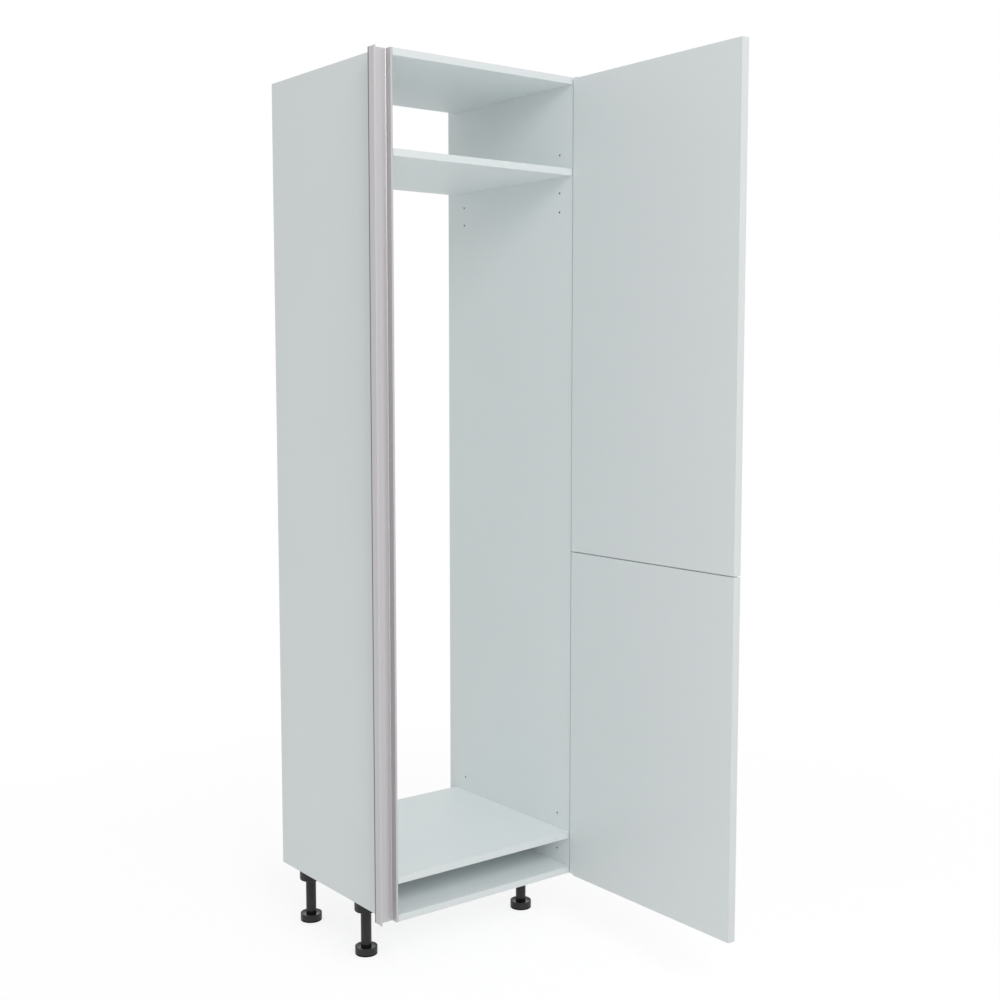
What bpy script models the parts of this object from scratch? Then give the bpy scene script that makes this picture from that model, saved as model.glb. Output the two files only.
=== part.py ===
"""Tall kitchen unit that houses a built-in fridge, with two doors that hang on pivot hinges.

The unit stands open, as a shop shows it: both doors are turned a quarter turn away from the front.
Everything is measured from the lower front corner of the left side: X to the right, Y to the back, Z up.
The corner of the unit is then set so that the origin lies on the floor, under the middle of the whole.
"""

import math

import bmesh
import bpy
from mathutils import Matrix, Vector

MM = 0.001

# Carcass boards
UNIT_WIDTH = 600 * MM
SIDE_HEIGHT = 2145 * MM
SIDE_DEPTH = 560 * MM
CROSS_BOARD_RECESS = 30 * MM
BOARD_THICKNESS = 18 * MM
FLOOR_CLEARANCE = 150 * MM
VENT_SLOT_HEIGHT = 80 * MM
TOP_COMPARTMENT_HEIGHT = 217 * MM
BOARD_EDGE_ROUNDING = 0.8 * MM

# Gap left between pieces that touch, and the overrun of a cut past a face
FIT_GAP = 0.3 * MM
CUT_OVERRUN = 2 * MM

# Shelf pin holes, in two upright rows on each side, and the dowels that hold the boards
PIN_HOLE_RADIUS = 2.5 * MM
PIN_HOLE_DEPTH = 12 * MM
PIN_HOLE_PITCH = 50 * MM
FRONT_ROW_INSET = 52 * MM
REAR_ROW_INSET = 48 * MM
UPPER_SHELF_HOLE_STEPS = (-2, -1, 1)
LOWER_SHELF_HOLE_STEPS = (-1, 1)
DOWEL_RADIUS = 4 * MM
DOWEL_LENGTH = 30 * MM
DOWEL_IN_SIDE = 12 * MM
DOWEL_CHAMFER = 1 * MM
END_BOARD_REAR_DOWEL_INSET = 20 * MM

# Doors
DOOR_WIDTH = 590 * MM
DOOR_THICKNESS = 22 * MM
LOWER_DOOR_HEIGHT = 895 * MM
DOOR_EDGE_ROUNDING = 1 * MM
DOOR_BELOW_CARCASS = 2 * MM
DOOR_BELOW_TOP = 4 * MM
DOOR_SPLIT_GAP = 3 * MM
DOOR_SIDE_REVEAL = 1.5 * MM
DOOR_OPEN_ANGLE = math.radians(90)
DOOR_FURTHER_ANGLE = math.radians(15)

# Pivot hinges, with their pins on one upright axis near the hinge edge of the doors
PIVOT_EDGE_INSET = 8 * MM
SWING_CLEARANCE = 0.4 * MM
STRAP_WIDTH = 10 * MM
STRAP_TO_DOWEL = 4 * MM
TOP_STRAP_THICKNESS = 2.5 * MM
BOTTOM_STRAP_THICKNESS = 4 * MM
NOTCH_CLEARANCE = 0.5 * MM
NOTCH_HEADROOM = 1 * MM
TONGUE_THICKNESS = 2 * MM
LEAF_THICKNESS = 2 * MM
LEAF_HEIGHT = 60 * MM
PIN_RADIUS = 2.5 * MM
PIN_REACH = 13 * MM
PIN_CHAMFER = 0.6 * MM
BUSH_RADIUS = 4.6 * MM
BUSH_LENGTH = 16 * MM
BUSH_FLANGE_RADIUS = 6.5 * MM
BUSH_FLANGE_THICKNESS = 1.2 * MM
BUSH_END_WALL = 1 * MM
STRAP_SCREW_SHARES = (0.28, 0.74)
LEAF_SCREW_SHARES = (0.17, 0.83)

# Countersunk screws
SCREW_RADIUS = 1.6 * MM
SCREW_HEAD_RADIUS = 3.4 * MM
SCREW_HEAD_HEIGHT = 1.7 * MM
SCREW_TIP = 3 * MM
SCREW_SUNK = 0.2 * MM
STRAP_SCREW_LENGTH = 22 * MM
LEAF_SCREW_LENGTH = 20 * MM
BRACKET_SCREW_LENGTH = 15 * MM

# Aluminium handle profile on the front of the left side, sizes of its section in plan
PROFILE_WALL = 1.6 * MM
PROFILE_FLANGE_REACH = 30 * MM
PROFILE_FLANGE_REAR = 34 * MM
PROFILE_LIP = 3.5 * MM
PROFILE_LIP_SETBACK = 1.4 * MM
PROFILE_CHANNEL_DEPTH = 19 * MM
PROFILE_RIB_WIDTH = 5.4 * MM
PROFILE_RIB_WALL = 1.2 * MM
PROFILE_FILLET_RADIUS = 5 * MM
PROFILE_FILLET_STEPS = 6
PROFILE_SLOT_WIDTH = 15.2 * MM
PROFILE_SLOT_FROM_FLANGE = 5.8 * MM
PROFILE_HOOK_WALL = 1.4 * MM
PROFILE_HOOK_LIP = 3 * MM

# Cast brackets that hold the profile on the side
BRACKET_HEAD_THICKNESS = 2 * MM
BRACKET_NECK_WIDTH = 4 * MM
BRACKET_WALL = 3 * MM
BRACKET_ARM_SETBACK = 3 * MM
BRACKET_FLANGE_LENGTH = 26 * MM
BRACKET_HEIGHT = 40 * MM
BRACKET_CHAMFER = 1 * MM
BRACKET_SCREW_SHARE = 0.62
BRACKET_PLACE_SHARES = (0.1, 0.5, 0.9)
BRACKET_PLACE_NAMES = ("lower", "middle", "upper")

# Adjustable legs
LEG_SIDE_INSET = 39.5 * MM
FRONT_LEG_SETBACK = 187 * MM
REAR_LEG_INSET = 86 * MM
SOCKET_RADIUS = 30.5 * MM
SOCKET_HEIGHT = 33 * MM
SOCKET_WALL = 2.4 * MM
SOCKET_ROUNDING = 4 * MM
SOCKET_ROUNDING_STEPS = 2
SOCKET_BOSS_WALL = 2.6 * MM
SOCKET_STOP_HEIGHT = 3 * MM
SOCKET_RIB_COUNT = 3
SOCKET_RIB_THICKNESS = 1.8 * MM
SOCKET_RIB_SINK = 0.6 * MM
PEG_COUNT = 3
PEG_CIRCLE_RADIUS = 22.6 * MM
PEG_RADIUS = 4.2 * MM
PEG_HEIGHT = 11 * MM
PEG_TAPER = 1.4 * MM
PEG_SHOULDER = 0.9 * MM
COLUMN_RADIUS = 14 * MM
COLUMN_BOTTOM = 27 * MM
COLUMN_WALL = 3 * MM
COLUMN_NUT_HEIGHT = 14 * MM
COLUMN_ROUNDING = 1 * MM
FOOT_RADIUS = 29.5 * MM
FOOT_HEIGHT = 21 * MM
FOOT_RIM = 2.4 * MM
FOOT_DISH_DEPTH = 6 * MM
FOOT_EDGE_ROUNDING = 1 * MM
COLLAR_BASE_ROUNDING = 1.5 * MM
SPINDLE_RADIUS = 5 * MM
SPINDLE_LENGTH = 58 * MM
SPINDLE_CHAMFER = 1 * MM

# Facets of round pieces
LARGE_ROUND_SIDES = 24
SMALL_ROUND_SIDES = 12
HOLE_SIDES = 10
DOWEL_SIDES = 8
BORE_TURN = math.radians(7)

# Places that follow from the sizes
CARCASS_TOP = FLOOR_CLEARANCE + SIDE_HEIGHT
BASE_TOP = FLOOR_CLEARANCE + BOARD_THICKNESS
LOWER_SHELF_BOTTOM = BASE_TOP + VENT_SLOT_HEIGHT
UPPER_SHELF_BOTTOM = CARCASS_TOP - TOP_COMPARTMENT_HEIGHT - 2 * BOARD_THICKNESS
TOP_BOARD_BOTTOM = CARCASS_TOP - BOARD_THICKNESS
RIGHT_INNER_FACE = UNIT_WIDTH - BOARD_THICKNESS
CROSS_BOARD_DEPTH = SIDE_DEPTH - CROSS_BOARD_RECESS
REAR_ROW = CROSS_BOARD_DEPTH - REAR_ROW_INSET
END_BOARD_REAR_DOWEL = CROSS_BOARD_DEPTH - END_BOARD_REAR_DOWEL_INSET

DOOR_HALF = DOOR_THICKNESS / 2
DOOR_FRONT_GAP = math.hypot(PIVOT_EDGE_INSET, DOOR_HALF) - DOOR_HALF + SWING_CLEARANCE
PIVOT_X = UNIT_WIDTH - DOOR_SIDE_REVEAL - PIVOT_EDGE_INSET
PIVOT_Y = -(DOOR_FRONT_GAP + DOOR_HALF)
LOWER_DOOR_BOTTOM = FLOOR_CLEARANCE - DOOR_BELOW_CARCASS
LOWER_DOOR_TOP = LOWER_DOOR_BOTTOM + LOWER_DOOR_HEIGHT
UPPER_DOOR_BOTTOM = LOWER_DOOR_TOP + DOOR_SPLIT_GAP
UPPER_DOOR_TOP = CARCASS_TOP - DOOR_BELOW_TOP
TONGUE_BOTTOM = LOWER_DOOR_TOP + (DOOR_SPLIT_GAP - TONGUE_THICKNESS) / 2
TONGUE_TOP = TONGUE_BOTTOM + TONGUE_THICKNESS
TOP_STRAP_BOTTOM = CARCASS_TOP - TOP_STRAP_THICKNESS
BOTTOM_STRAP_TOP = LOWER_DOOR_BOTTOM + BOTTOM_STRAP_THICKNESS
NOTCH_TOP = BOTTOM_STRAP_TOP + NOTCH_HEADROOM
STRAP_TAIL = FRONT_ROW_INSET - DOWEL_RADIUS - STRAP_TO_DOWEL

PROFILE_WALL_BACK = PROFILE_CHANNEL_DEPTH + PROFILE_WALL
PROFILE_RIB_RIGHT = BOARD_THICKNESS - FIT_GAP
PROFILE_RIB_LEFT = PROFILE_RIB_RIGHT - PROFILE_RIB_WIDTH
PROFILE_SLOT_DEPTH = BRACKET_HEAD_THICKNESS + 2 * FIT_GAP
PROFILE_SLOT_LEFT = PROFILE_WALL + PROFILE_SLOT_FROM_FLANGE - PROFILE_FLANGE_REACH
PROFILE_SLOT_RIGHT = PROFILE_SLOT_LEFT + PROFILE_SLOT_WIDTH
LEFT_SIDE_FRONT = PROFILE_WALL_BACK + FIT_GAP

SOCKET_TOP = FLOOR_CLEARANCE - FIT_GAP
SOCKET_BOTTOM = FLOOR_CLEARANCE - SOCKET_HEIGHT
COLUMN_TOP = SOCKET_TOP - SOCKET_STOP_HEIGHT - FIT_GAP
REAR_LEG_SETBACK = SIDE_DEPTH - REAR_LEG_INSET

# The origin lies under the middle of the unit with its doors open
LEFTMOST = -PROFILE_FLANGE_REACH - PROFILE_LIP
RIGHTMOST = PIVOT_X + DOOR_HALF
FOREMOST = PIVOT_Y - (DOOR_WIDTH - PIVOT_EDGE_INSET)
CORNER_X = -(LEFTMOST + RIGHTMOST) / 2
CORNER_Y = -(FOREMOST + SIDE_DEPTH) / 2

UP = Vector((0, 0, 1))
DOWN = Vector((0, 0, -1))
RIGHT = Vector((1, 0, 0))
LEFT = Vector((-1, 0, 0))
BACK = Vector((0, 1, 0))


def clear_scene():
    for old in list(bpy.data.objects):
        bpy.data.objects.remove(old, do_unlink=True)


def material(name, colour, roughness, metallic=0.0):
    """A plain Principled finish, made once and then shared."""
    found = bpy.data.materials.get(name)
    if found:
        return found
    made = bpy.data.materials.new(name)
    made.use_nodes = True
    shader = made.node_tree.nodes["Principled BSDF"]
    shader.inputs["Base Color"].default_value = (*colour, 1.0)
    shader.inputs["Roughness"].default_value = roughness
    shader.inputs["Metallic"].default_value = metallic
    made.diffuse_color = (*colour, 1.0)
    return made


def board_finish():
    return material("pale melamine", (0.74, 0.79, 0.79), 0.55)


def door_finish():
    return material("pale lacquer", (0.76, 0.81, 0.81), 0.45)


def aluminium_finish():
    return material("anodised aluminium", (0.62, 0.6, 0.62), 0.35, 1.0)


def black_plastic_finish():
    return material("black plastic", (0.03, 0.03, 0.03), 0.5)


def zinc_finish():
    return material("zinc plate", (0.7, 0.71, 0.72), 0.35, 1.0)


def nylon_finish():
    return material("white nylon", (0.82, 0.82, 0.8), 0.5)


def beech_finish():
    return material("beech", (0.62, 0.44, 0.26), 0.7)


def mesh_from(work, name):
    """Turns a bmesh into a mesh with its faces pointing outwards."""
    bmesh.ops.recalc_face_normals(work, faces=work.faces)
    mesh = bpy.data.meshes.new(name)
    work.to_mesh(mesh)
    work.free()
    return mesh


def empty(name, place, parent=None, turn=0.0):
    marker = bpy.data.objects.new(name, None)
    marker.empty_display_size = BOARD_THICKNESS
    marker.location = place
    marker.rotation_euler = (0, 0, turn)
    marker.parent = parent
    bpy.context.scene.collection.objects.link(marker)
    return marker


def piece(name, mesh, finish, parent, place=(0, 0, 0), round_form=False):
    """A sub-part: its own object, on its own place under its parent."""
    if not mesh.materials:
        mesh.materials.append(finish)
    if round_form:
        mesh.shade_smooth()
        mesh.set_sharp_from_angle(angle=math.radians(35))
    made = bpy.data.objects.new(name, mesh)
    made.location = place
    made.parent = parent
    bpy.context.scene.collection.objects.link(made)
    return made


def helper(name, mesh, parent, place=(0, 0, 0)):
    """A shape that only cuts or joins others."""
    made = bpy.data.objects.new(name, mesh)
    made.location = place
    made.parent = parent
    made.hide_render = True
    made.display_type = "WIRE"
    bpy.context.scene.collection.objects.link(made)
    return made


def combine(target, tool, operation):
    modifier = target.modifiers.new(tool.name, "BOOLEAN")
    modifier.operation = operation
    modifier.solver = "EXACT"
    modifier.object = tool


def cut(target, mesh, parent, place=(0, 0, 0)):
    """Cuts the shape of a mesh, which lies under the given parent, out of the target."""
    tool = helper(f"{target.name}_cut_{len(target.modifiers) + 1}", mesh, parent, place)
    combine(target, tool, "DIFFERENCE")


def block(corner, far_corner, rounding=0.0):
    """A straight block between two corners, with its edges eased."""
    low = Vector(corner)
    size = Vector(far_corner) - low
    work = bmesh.new()
    placing = Matrix.Translation(low + size / 2) @ Matrix.Diagonal((*size, 1))
    bmesh.ops.create_cube(work, size=1, matrix=placing)
    if rounding:
        bmesh.ops.bevel(work, geom=work.edges[:], offset=rounding, segments=1, affect="EDGES")
    return mesh_from(work, "block")


def prism(outline, bottom, top):
    """An outline in plan, drawn up into a solid."""
    work = bmesh.new()
    face = work.faces.new([work.verts.new((x, y, bottom)) for x, y in outline])
    drawn = bmesh.ops.extrude_face_region(work, geom=[face])
    moved = [item for item in drawn["geom"] if isinstance(item, bmesh.types.BMVert)]
    bmesh.ops.translate(work, verts=moved, vec=(0, 0, top - bottom))
    return mesh_from(work, "prism")


def turned(profile, sides, closed=False):
    """A solid of revolution about Z. The profile is a list of (radius, height)."""
    work = bmesh.new()
    points = [work.verts.new((radius, 0, height)) for radius, height in profile]
    runs = list(zip(points, points[1:]))
    if closed:
        runs.append((points[-1], points[0]))
    lines = [work.edges.new(run) for run in runs]
    bmesh.ops.spin(
        work, geom=points + lines, cent=(0, 0, 0), axis=UP, angle=math.tau, steps=sides, use_merge=True
    )
    bmesh.ops.remove_doubles(work, verts=work.verts[:], dist=FIT_GAP / 100)
    bmesh.ops.dissolve_degenerate(work, edges=work.edges[:], dist=FIT_GAP / 100)
    return mesh_from(work, "turned")


def aimed(direction):
    """The turn that points local +Z along a direction."""
    return Vector(direction).to_track_quat("Z", "Y").to_matrix().to_4x4()


def bores(places, sides=HOLE_SIDES):
    """Round cutters in one mesh, each from (mouth, inward direction, radius, depth).

    Each is turned a little more about its axis than the last, so that no corners of a row line up.
    """
    work = bmesh.new()
    for number, (mouth, inward, radius, depth) in enumerate(places):
        length = depth + CUT_OVERRUN
        middle = Vector(mouth) + Vector(inward) * (depth - length / 2)
        bmesh.ops.create_cone(
            work,
            cap_ends=True,
            segments=sides,
            radius1=radius,
            radius2=radius,
            depth=length,
            matrix=Matrix.Translation(middle) @ aimed(inward) @ Matrix.Rotation(number * BORE_TURN, 4, UP),
        )
    return mesh_from(work, "bores")


def arc(centre, radius, start, stop, steps):
    """Points along part of a circle, both ends included. Angles are in degrees."""
    found = []
    for step in range(steps + 1):
        angle = math.radians(start + (stop - start) * step / steps)
        found.append((centre[0] + radius * math.cos(angle), centre[1] + radius * math.sin(angle)))
    return found


def moved_mesh(mesh, direction, place):
    """Lays a mesh that was made about +Z along a direction, at a place."""
    mesh.transform(Matrix.Translation(place) @ aimed(direction))
    return mesh


def screw_mesh(length):
    """A countersunk screw, head face at zero, pointing along +Z."""
    profile = [
        (0, 0),
        (SCREW_HEAD_RADIUS, 0),
        (SCREW_RADIUS, SCREW_HEAD_HEIGHT),
        (SCREW_RADIUS, length - SCREW_TIP),
        (0, length),
    ]
    return turned(profile, SMALL_ROUND_SIDES)


def screw_seat(length):
    """The countersink and pilot hole of that screw, a fit gap larger all round."""
    profile = [
        (0, -CUT_OVERRUN),
        (SCREW_HEAD_RADIUS + FIT_GAP, -CUT_OVERRUN),
        (SCREW_HEAD_RADIUS + FIT_GAP, FIT_GAP),
        (SCREW_RADIUS + FIT_GAP, SCREW_HEAD_HEIGHT + FIT_GAP),
        (SCREW_RADIUS + FIT_GAP, length + FIT_GAP),
        (0, length + FIT_GAP),
    ]
    return turned(profile, SMALL_ROUND_SIDES)


def drive_screw(name, place, direction, length, holders, parent):
    """A screw with its head face just under a surface, and its seat in all that it goes through."""
    inward = Vector(direction)
    seat_place = Vector(place) + inward * SCREW_SUNK
    screw = piece(name, screw_mesh(length), zinc_finish(), parent, seat_place, round_form=True)
    screw.rotation_euler = aimed(inward).to_euler()
    for holder in holders:
        cut(holder, moved_mesh(screw_seat(length), inward, seat_place), parent)


def side_board(name, left_face, front, parent):
    """An upright side, from the left_face outwards by one board thickness."""
    mesh = block(
        (0, 0, 0), (BOARD_THICKNESS, SIDE_DEPTH - front, SIDE_HEIGHT), BOARD_EDGE_ROUNDING
    )
    return piece(name, mesh, board_finish(), parent, (left_face, front, FLOOR_CLEARANCE))


def cross_board(name, bottom, parent):
    """A level board between the sides, its front edge in the front plane of the unit."""
    width = UNIT_WIDTH - 2 * (BOARD_THICKNESS + FIT_GAP)
    mesh = block((0, 0, 0), (width, CROSS_BOARD_DEPTH, BOARD_THICKNESS), BOARD_EDGE_ROUNDING)
    return piece(name, mesh, board_finish(), parent, (BOARD_THICKNESS + FIT_GAP, 0, bottom))


def dowel_mesh():
    half = DOWEL_LENGTH / 2
    profile = [
        (0, -half),
        (DOWEL_RADIUS - DOWEL_CHAMFER, -half),
        (DOWEL_RADIUS, DOWEL_CHAMFER - half),
        (DOWEL_RADIUS, half - DOWEL_CHAMFER),
        (DOWEL_RADIUS - DOWEL_CHAMFER, half),
        (0, half),
    ]
    return moved_mesh(turned(profile, DOWEL_SIDES), RIGHT, (0, 0, 0))


def carcass(corner):
    """Both sides and the four cross boards, with their dowels and shelf pin holes."""
    left = side_board("left_side_panel", 0, LEFT_SIDE_FRONT, corner)
    right = side_board("right_side_panel", RIGHT_INNER_FACE, 0, corner)
    # Each board's name, its underside and the place of its rear dowels
    boards = (
        ("base_panel", FLOOR_CLEARANCE, END_BOARD_REAR_DOWEL),
        ("lower_shelf", LOWER_SHELF_BOTTOM, REAR_ROW),
        ("upper_shelf", UPPER_SHELF_BOTTOM, REAR_ROW),
        ("top_panel", TOP_BOARD_BOTTOM, END_BOARD_REAR_DOWEL),
    )
    side_bores = {"left": [], "right": []}
    faces = {"left": (BOARD_THICKNESS, LEFT), "right": (RIGHT_INNER_FACE, RIGHT)}
    dowel = dowel_mesh()
    made = {"left_side_panel": left, "right_side_panel": right}
    board_depth = DOWEL_LENGTH - DOWEL_IN_SIDE
    for name, bottom, rear_dowel in boards:
        board = cross_board(name, bottom, corner)
        made[name] = board
        middle = bottom + BOARD_THICKNESS / 2
        ends = []
        for side, (face, outward) in faces.items():
            for place_name, back in (("front", FRONT_ROW_INSET), ("rear", rear_dowel)):
                mouth = Vector((face, back, middle))
                side_bores[side].append((mouth, outward, DOWEL_RADIUS + FIT_GAP, DOWEL_IN_SIDE + FIT_GAP))
                ends.append((mouth, -outward, DOWEL_RADIUS + FIT_GAP, board_depth + FIT_GAP))
                centre = mouth + outward * (DOWEL_IN_SIDE - DOWEL_LENGTH / 2)
                dowel_name = f"{name}_dowel_{place_name}_{side}"
                piece(dowel_name, dowel, beech_finish(), corner, centre, round_form=True)
        cut(board, bores(ends), corner)
    holes = []
    for bottom, steps in (
        (LOWER_SHELF_BOTTOM, LOWER_SHELF_HOLE_STEPS),
        (UPPER_SHELF_BOTTOM, UPPER_SHELF_HOLE_STEPS),
    ):
        for step in steps:
            height = bottom + BOARD_THICKNESS / 2 + step * PIN_HOLE_PITCH
            holes += [(back, height) for back in (FRONT_ROW_INSET, REAR_ROW)]
    for side, (face, outward) in faces.items():
        for back, height in holes:
            mouth = Vector((face, back, height))
            side_bores[side].append((mouth, outward, PIN_HOLE_RADIUS, PIN_HOLE_DEPTH))
        cut(made[f"{side}_side_panel"], bores(side_bores[side]), corner)
    return made


def profile_section():
    """The outline of the handle profile in plan, from the tip of its lip round to the same tip."""
    outer = -PROFILE_FLANGE_REACH
    inner = outer + PROFILE_WALL
    slot_back = PROFILE_WALL_BACK + PROFILE_SLOT_DEPTH
    hook_back = slot_back + PROFILE_HOOK_WALL
    lip_back = PROFILE_LIP_SETBACK + PROFILE_WALL
    fillet_centre = (
        PROFILE_RIB_LEFT - PROFILE_FILLET_RADIUS,
        PROFILE_CHANNEL_DEPTH - PROFILE_FILLET_RADIUS,
    )
    right_hook = [
        (PROFILE_SLOT_RIGHT + PROFILE_HOOK_WALL, PROFILE_WALL_BACK),
        (PROFILE_SLOT_RIGHT + PROFILE_HOOK_WALL, hook_back),
        (PROFILE_SLOT_RIGHT - PROFILE_HOOK_LIP, hook_back),
        (PROFILE_SLOT_RIGHT - PROFILE_HOOK_LIP, slot_back),
        (PROFILE_SLOT_RIGHT, slot_back),
        (PROFILE_SLOT_RIGHT, PROFILE_WALL_BACK),
    ]
    left_hook = [
        (PROFILE_SLOT_LEFT, PROFILE_WALL_BACK),
        (PROFILE_SLOT_LEFT, slot_back),
        (PROFILE_SLOT_LEFT + PROFILE_HOOK_LIP, slot_back),
        (PROFILE_SLOT_LEFT + PROFILE_HOOK_LIP, hook_back),
        (PROFILE_SLOT_LEFT - PROFILE_HOOK_WALL, hook_back),
        (PROFILE_SLOT_LEFT - PROFILE_HOOK_WALL, PROFILE_WALL_BACK),
    ]
    return [
        (outer - PROFILE_LIP, PROFILE_LIP_SETBACK),
        (inner, PROFILE_LIP_SETBACK),
        (inner, PROFILE_CHANNEL_DEPTH),
        *arc(fillet_centre, PROFILE_FILLET_RADIUS, 90, 0, PROFILE_FILLET_STEPS),
        (PROFILE_RIB_LEFT, 0),
        (PROFILE_RIB_RIGHT, 0),
        (PROFILE_RIB_RIGHT, PROFILE_WALL_BACK),
        *right_hook,
        *left_hook,
        (inner, PROFILE_WALL_BACK),
        (inner, PROFILE_FLANGE_REAR),
        (outer, PROFILE_FLANGE_REAR),
        (outer, lip_back),
        (outer - PROFILE_LIP, lip_back),
    ]


def handle_profile(corner):
    mesh = prism(profile_section(), FLOOR_CLEARANCE, CARCASS_TOP)
    profile = piece("handle_profile", mesh, aluminium_finish(), corner)
    core = block(
        (
            PROFILE_RIB_LEFT + PROFILE_RIB_WALL,
            PROFILE_RIB_WALL,
            FLOOR_CLEARANCE - CUT_OVERRUN,
        ),
        (
            PROFILE_RIB_RIGHT - PROFILE_RIB_WALL,
            PROFILE_WALL_BACK - PROFILE_RIB_WALL,
            CARCASS_TOP + CUT_OVERRUN,
        ),
    )
    cut(profile, core, corner)


def bracket_section():
    """The bracket in plan: a head in the profile's slot, a neck, an arm and a flange on the side."""
    slot_middle = (PROFILE_SLOT_LEFT + PROFILE_SLOT_RIGHT) / 2
    neck_left = slot_middle - BRACKET_NECK_WIDTH / 2
    neck_right = neck_left + BRACKET_NECK_WIDTH
    head_front = PROFILE_WALL_BACK + FIT_GAP
    head_back = head_front + BRACKET_HEAD_THICKNESS
    arm_front = PROFILE_WALL_BACK + PROFILE_SLOT_DEPTH + PROFILE_HOOK_WALL + BRACKET_ARM_SETBACK
    arm_back = arm_front + BRACKET_WALL
    flange_back = arm_back + BRACKET_FLANGE_LENGTH
    outline = [
        (PROFILE_SLOT_LEFT + FIT_GAP, head_front),
        (PROFILE_SLOT_RIGHT - FIT_GAP, head_front),
        (PROFILE_SLOT_RIGHT - FIT_GAP, head_back),
        (neck_right, head_back),
        (neck_right, arm_front),
        (-FIT_GAP, arm_front),
        (-FIT_GAP, flange_back),
        (BRACKET_CHAMFER - FIT_GAP - BRACKET_WALL, flange_back),
        (-FIT_GAP - BRACKET_WALL, flange_back - BRACKET_CHAMFER),
        (-FIT_GAP - BRACKET_WALL, arm_back),
        (neck_left + BRACKET_CHAMFER, arm_back),
        (neck_left, arm_back - BRACKET_CHAMFER),
        (neck_left, head_back),
        (PROFILE_SLOT_LEFT + FIT_GAP, head_back),
    ]
    return outline, arm_back + BRACKET_SCREW_SHARE * BRACKET_FLANGE_LENGTH


def profile_brackets(corner, left_side):
    outline, screw_back = bracket_section()
    for place_name, share in zip(BRACKET_PLACE_NAMES, BRACKET_PLACE_SHARES):
        middle = FLOOR_CLEARANCE + share * SIDE_HEIGHT
        mesh = prism(outline, -BRACKET_HEIGHT / 2, BRACKET_HEIGHT / 2)
        bracket = piece(f"{place_name}_profile_bracket", mesh, zinc_finish(), corner, (0, 0, middle))
        face = (-FIT_GAP - BRACKET_WALL, screw_back, middle)
        drive_screw(
            f"{place_name}_bracket_screw", face, RIGHT, BRACKET_SCREW_LENGTH, (bracket, left_side), corner
        )


def round_nose():
    """The front end of a strap in plan, a half circle about the pivot."""
    return arc((PIVOT_X, PIVOT_Y), STRAP_WIDTH / 2, 180, 360, SMALL_ROUND_SIDES // 2)


def round_tail(half):
    """The rear end of a strap in plan, or of the pocket for it, with its half width."""
    centre = (PIVOT_X, STRAP_TAIL - STRAP_WIDTH / 2)
    return arc(centre, half, 0, 180, SMALL_ROUND_SIDES // 2)


def strap_pocket(bottom, top):
    """Room for a strap in the end of the right side, a fit gap larger all round."""
    half = STRAP_WIDTH / 2 + FIT_GAP
    mouth = [(PIVOT_X - half, -CUT_OVERRUN), (PIVOT_X + half, -CUT_OVERRUN)]
    return prism(mouth + round_tail(half), bottom, top)


def pivot_hole(bottom, top):
    mouth = (PIVOT_X, PIVOT_Y, top)
    return bores([(mouth, DOWN, PIN_RADIUS + FIT_GAP, top - bottom + CUT_OVERRUN)])


def pivot_pin(name, bottom, top, corner):
    length = top - bottom
    profile = [
        (0, 0),
        (PIN_RADIUS - PIN_CHAMFER, 0),
        (PIN_RADIUS, PIN_CHAMFER),
        (PIN_RADIUS, length - PIN_CHAMFER),
        (PIN_RADIUS - PIN_CHAMFER, length),
        (0, length),
    ]
    mesh = turned(profile, SMALL_ROUND_SIDES)
    piece(name, mesh, zinc_finish(), corner, (PIVOT_X, PIVOT_Y, bottom), round_form=True)


def end_strap(name, bottom, top, face_up, corner, right_side):
    """A strap let into the top or the bottom end of the right side, with its two screws."""
    outline = round_nose() + round_tail(STRAP_WIDTH / 2)
    strap = piece(name, prism(outline, bottom, top), zinc_finish(), corner)
    cut(strap, pivot_hole(bottom, top), corner)
    if face_up:
        pocket = strap_pocket(bottom - FIT_GAP, CARCASS_TOP + CUT_OVERRUN)
        face, inward = top, DOWN
    else:
        pocket = strap_pocket(FLOOR_CLEARANCE - CUT_OVERRUN, top + FIT_GAP)
        face, inward = bottom, UP
    cut(right_side, pocket, corner)
    for number, share in enumerate(STRAP_SCREW_SHARES, 1):
        place = (PIVOT_X, share * STRAP_TAIL, face)
        drive_screw(
            f"{name}_screw_{number}", place, inward, STRAP_SCREW_LENGTH, (strap, right_side), corner
        )


def middle_bracket(corner, right_side):
    """A leaf let into the front edge of the right side, with a tongue between the doors."""
    half = STRAP_WIDTH / 2
    middle = (TONGUE_BOTTOM + TONGUE_TOP) / 2
    low = middle - LEAF_HEIGHT / 2
    high = middle + LEAF_HEIGHT / 2
    leaf = block((PIVOT_X - half, 0, low), (PIVOT_X + half, LEAF_THICKNESS, high))
    bracket = piece("middle_pivot_bracket", leaf, zinc_finish(), corner)
    root = [(PIVOT_X + half, LEAF_THICKNESS / 2), (PIVOT_X - half, LEAF_THICKNESS / 2)]
    tongue = prism(round_nose() + root, TONGUE_BOTTOM, TONGUE_TOP)
    combine(bracket, helper("middle_pivot_tongue", tongue, corner), "UNION")
    cut(bracket, pivot_hole(TONGUE_BOTTOM, TONGUE_TOP), corner)
    pocket = block(
        (PIVOT_X - half - FIT_GAP, -CUT_OVERRUN, low - FIT_GAP),
        (PIVOT_X + half + FIT_GAP, LEAF_THICKNESS + FIT_GAP, high + FIT_GAP),
    )
    cut(right_side, pocket, corner)
    for number, share in enumerate(LEAF_SCREW_SHARES, 1):
        place = (PIVOT_X, 0, low + share * LEAF_HEIGHT)
        drive_screw(
            f"middle_pivot_screw_{number}", place, BACK, LEAF_SCREW_LENGTH, (bracket, right_side), corner
        )


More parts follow.
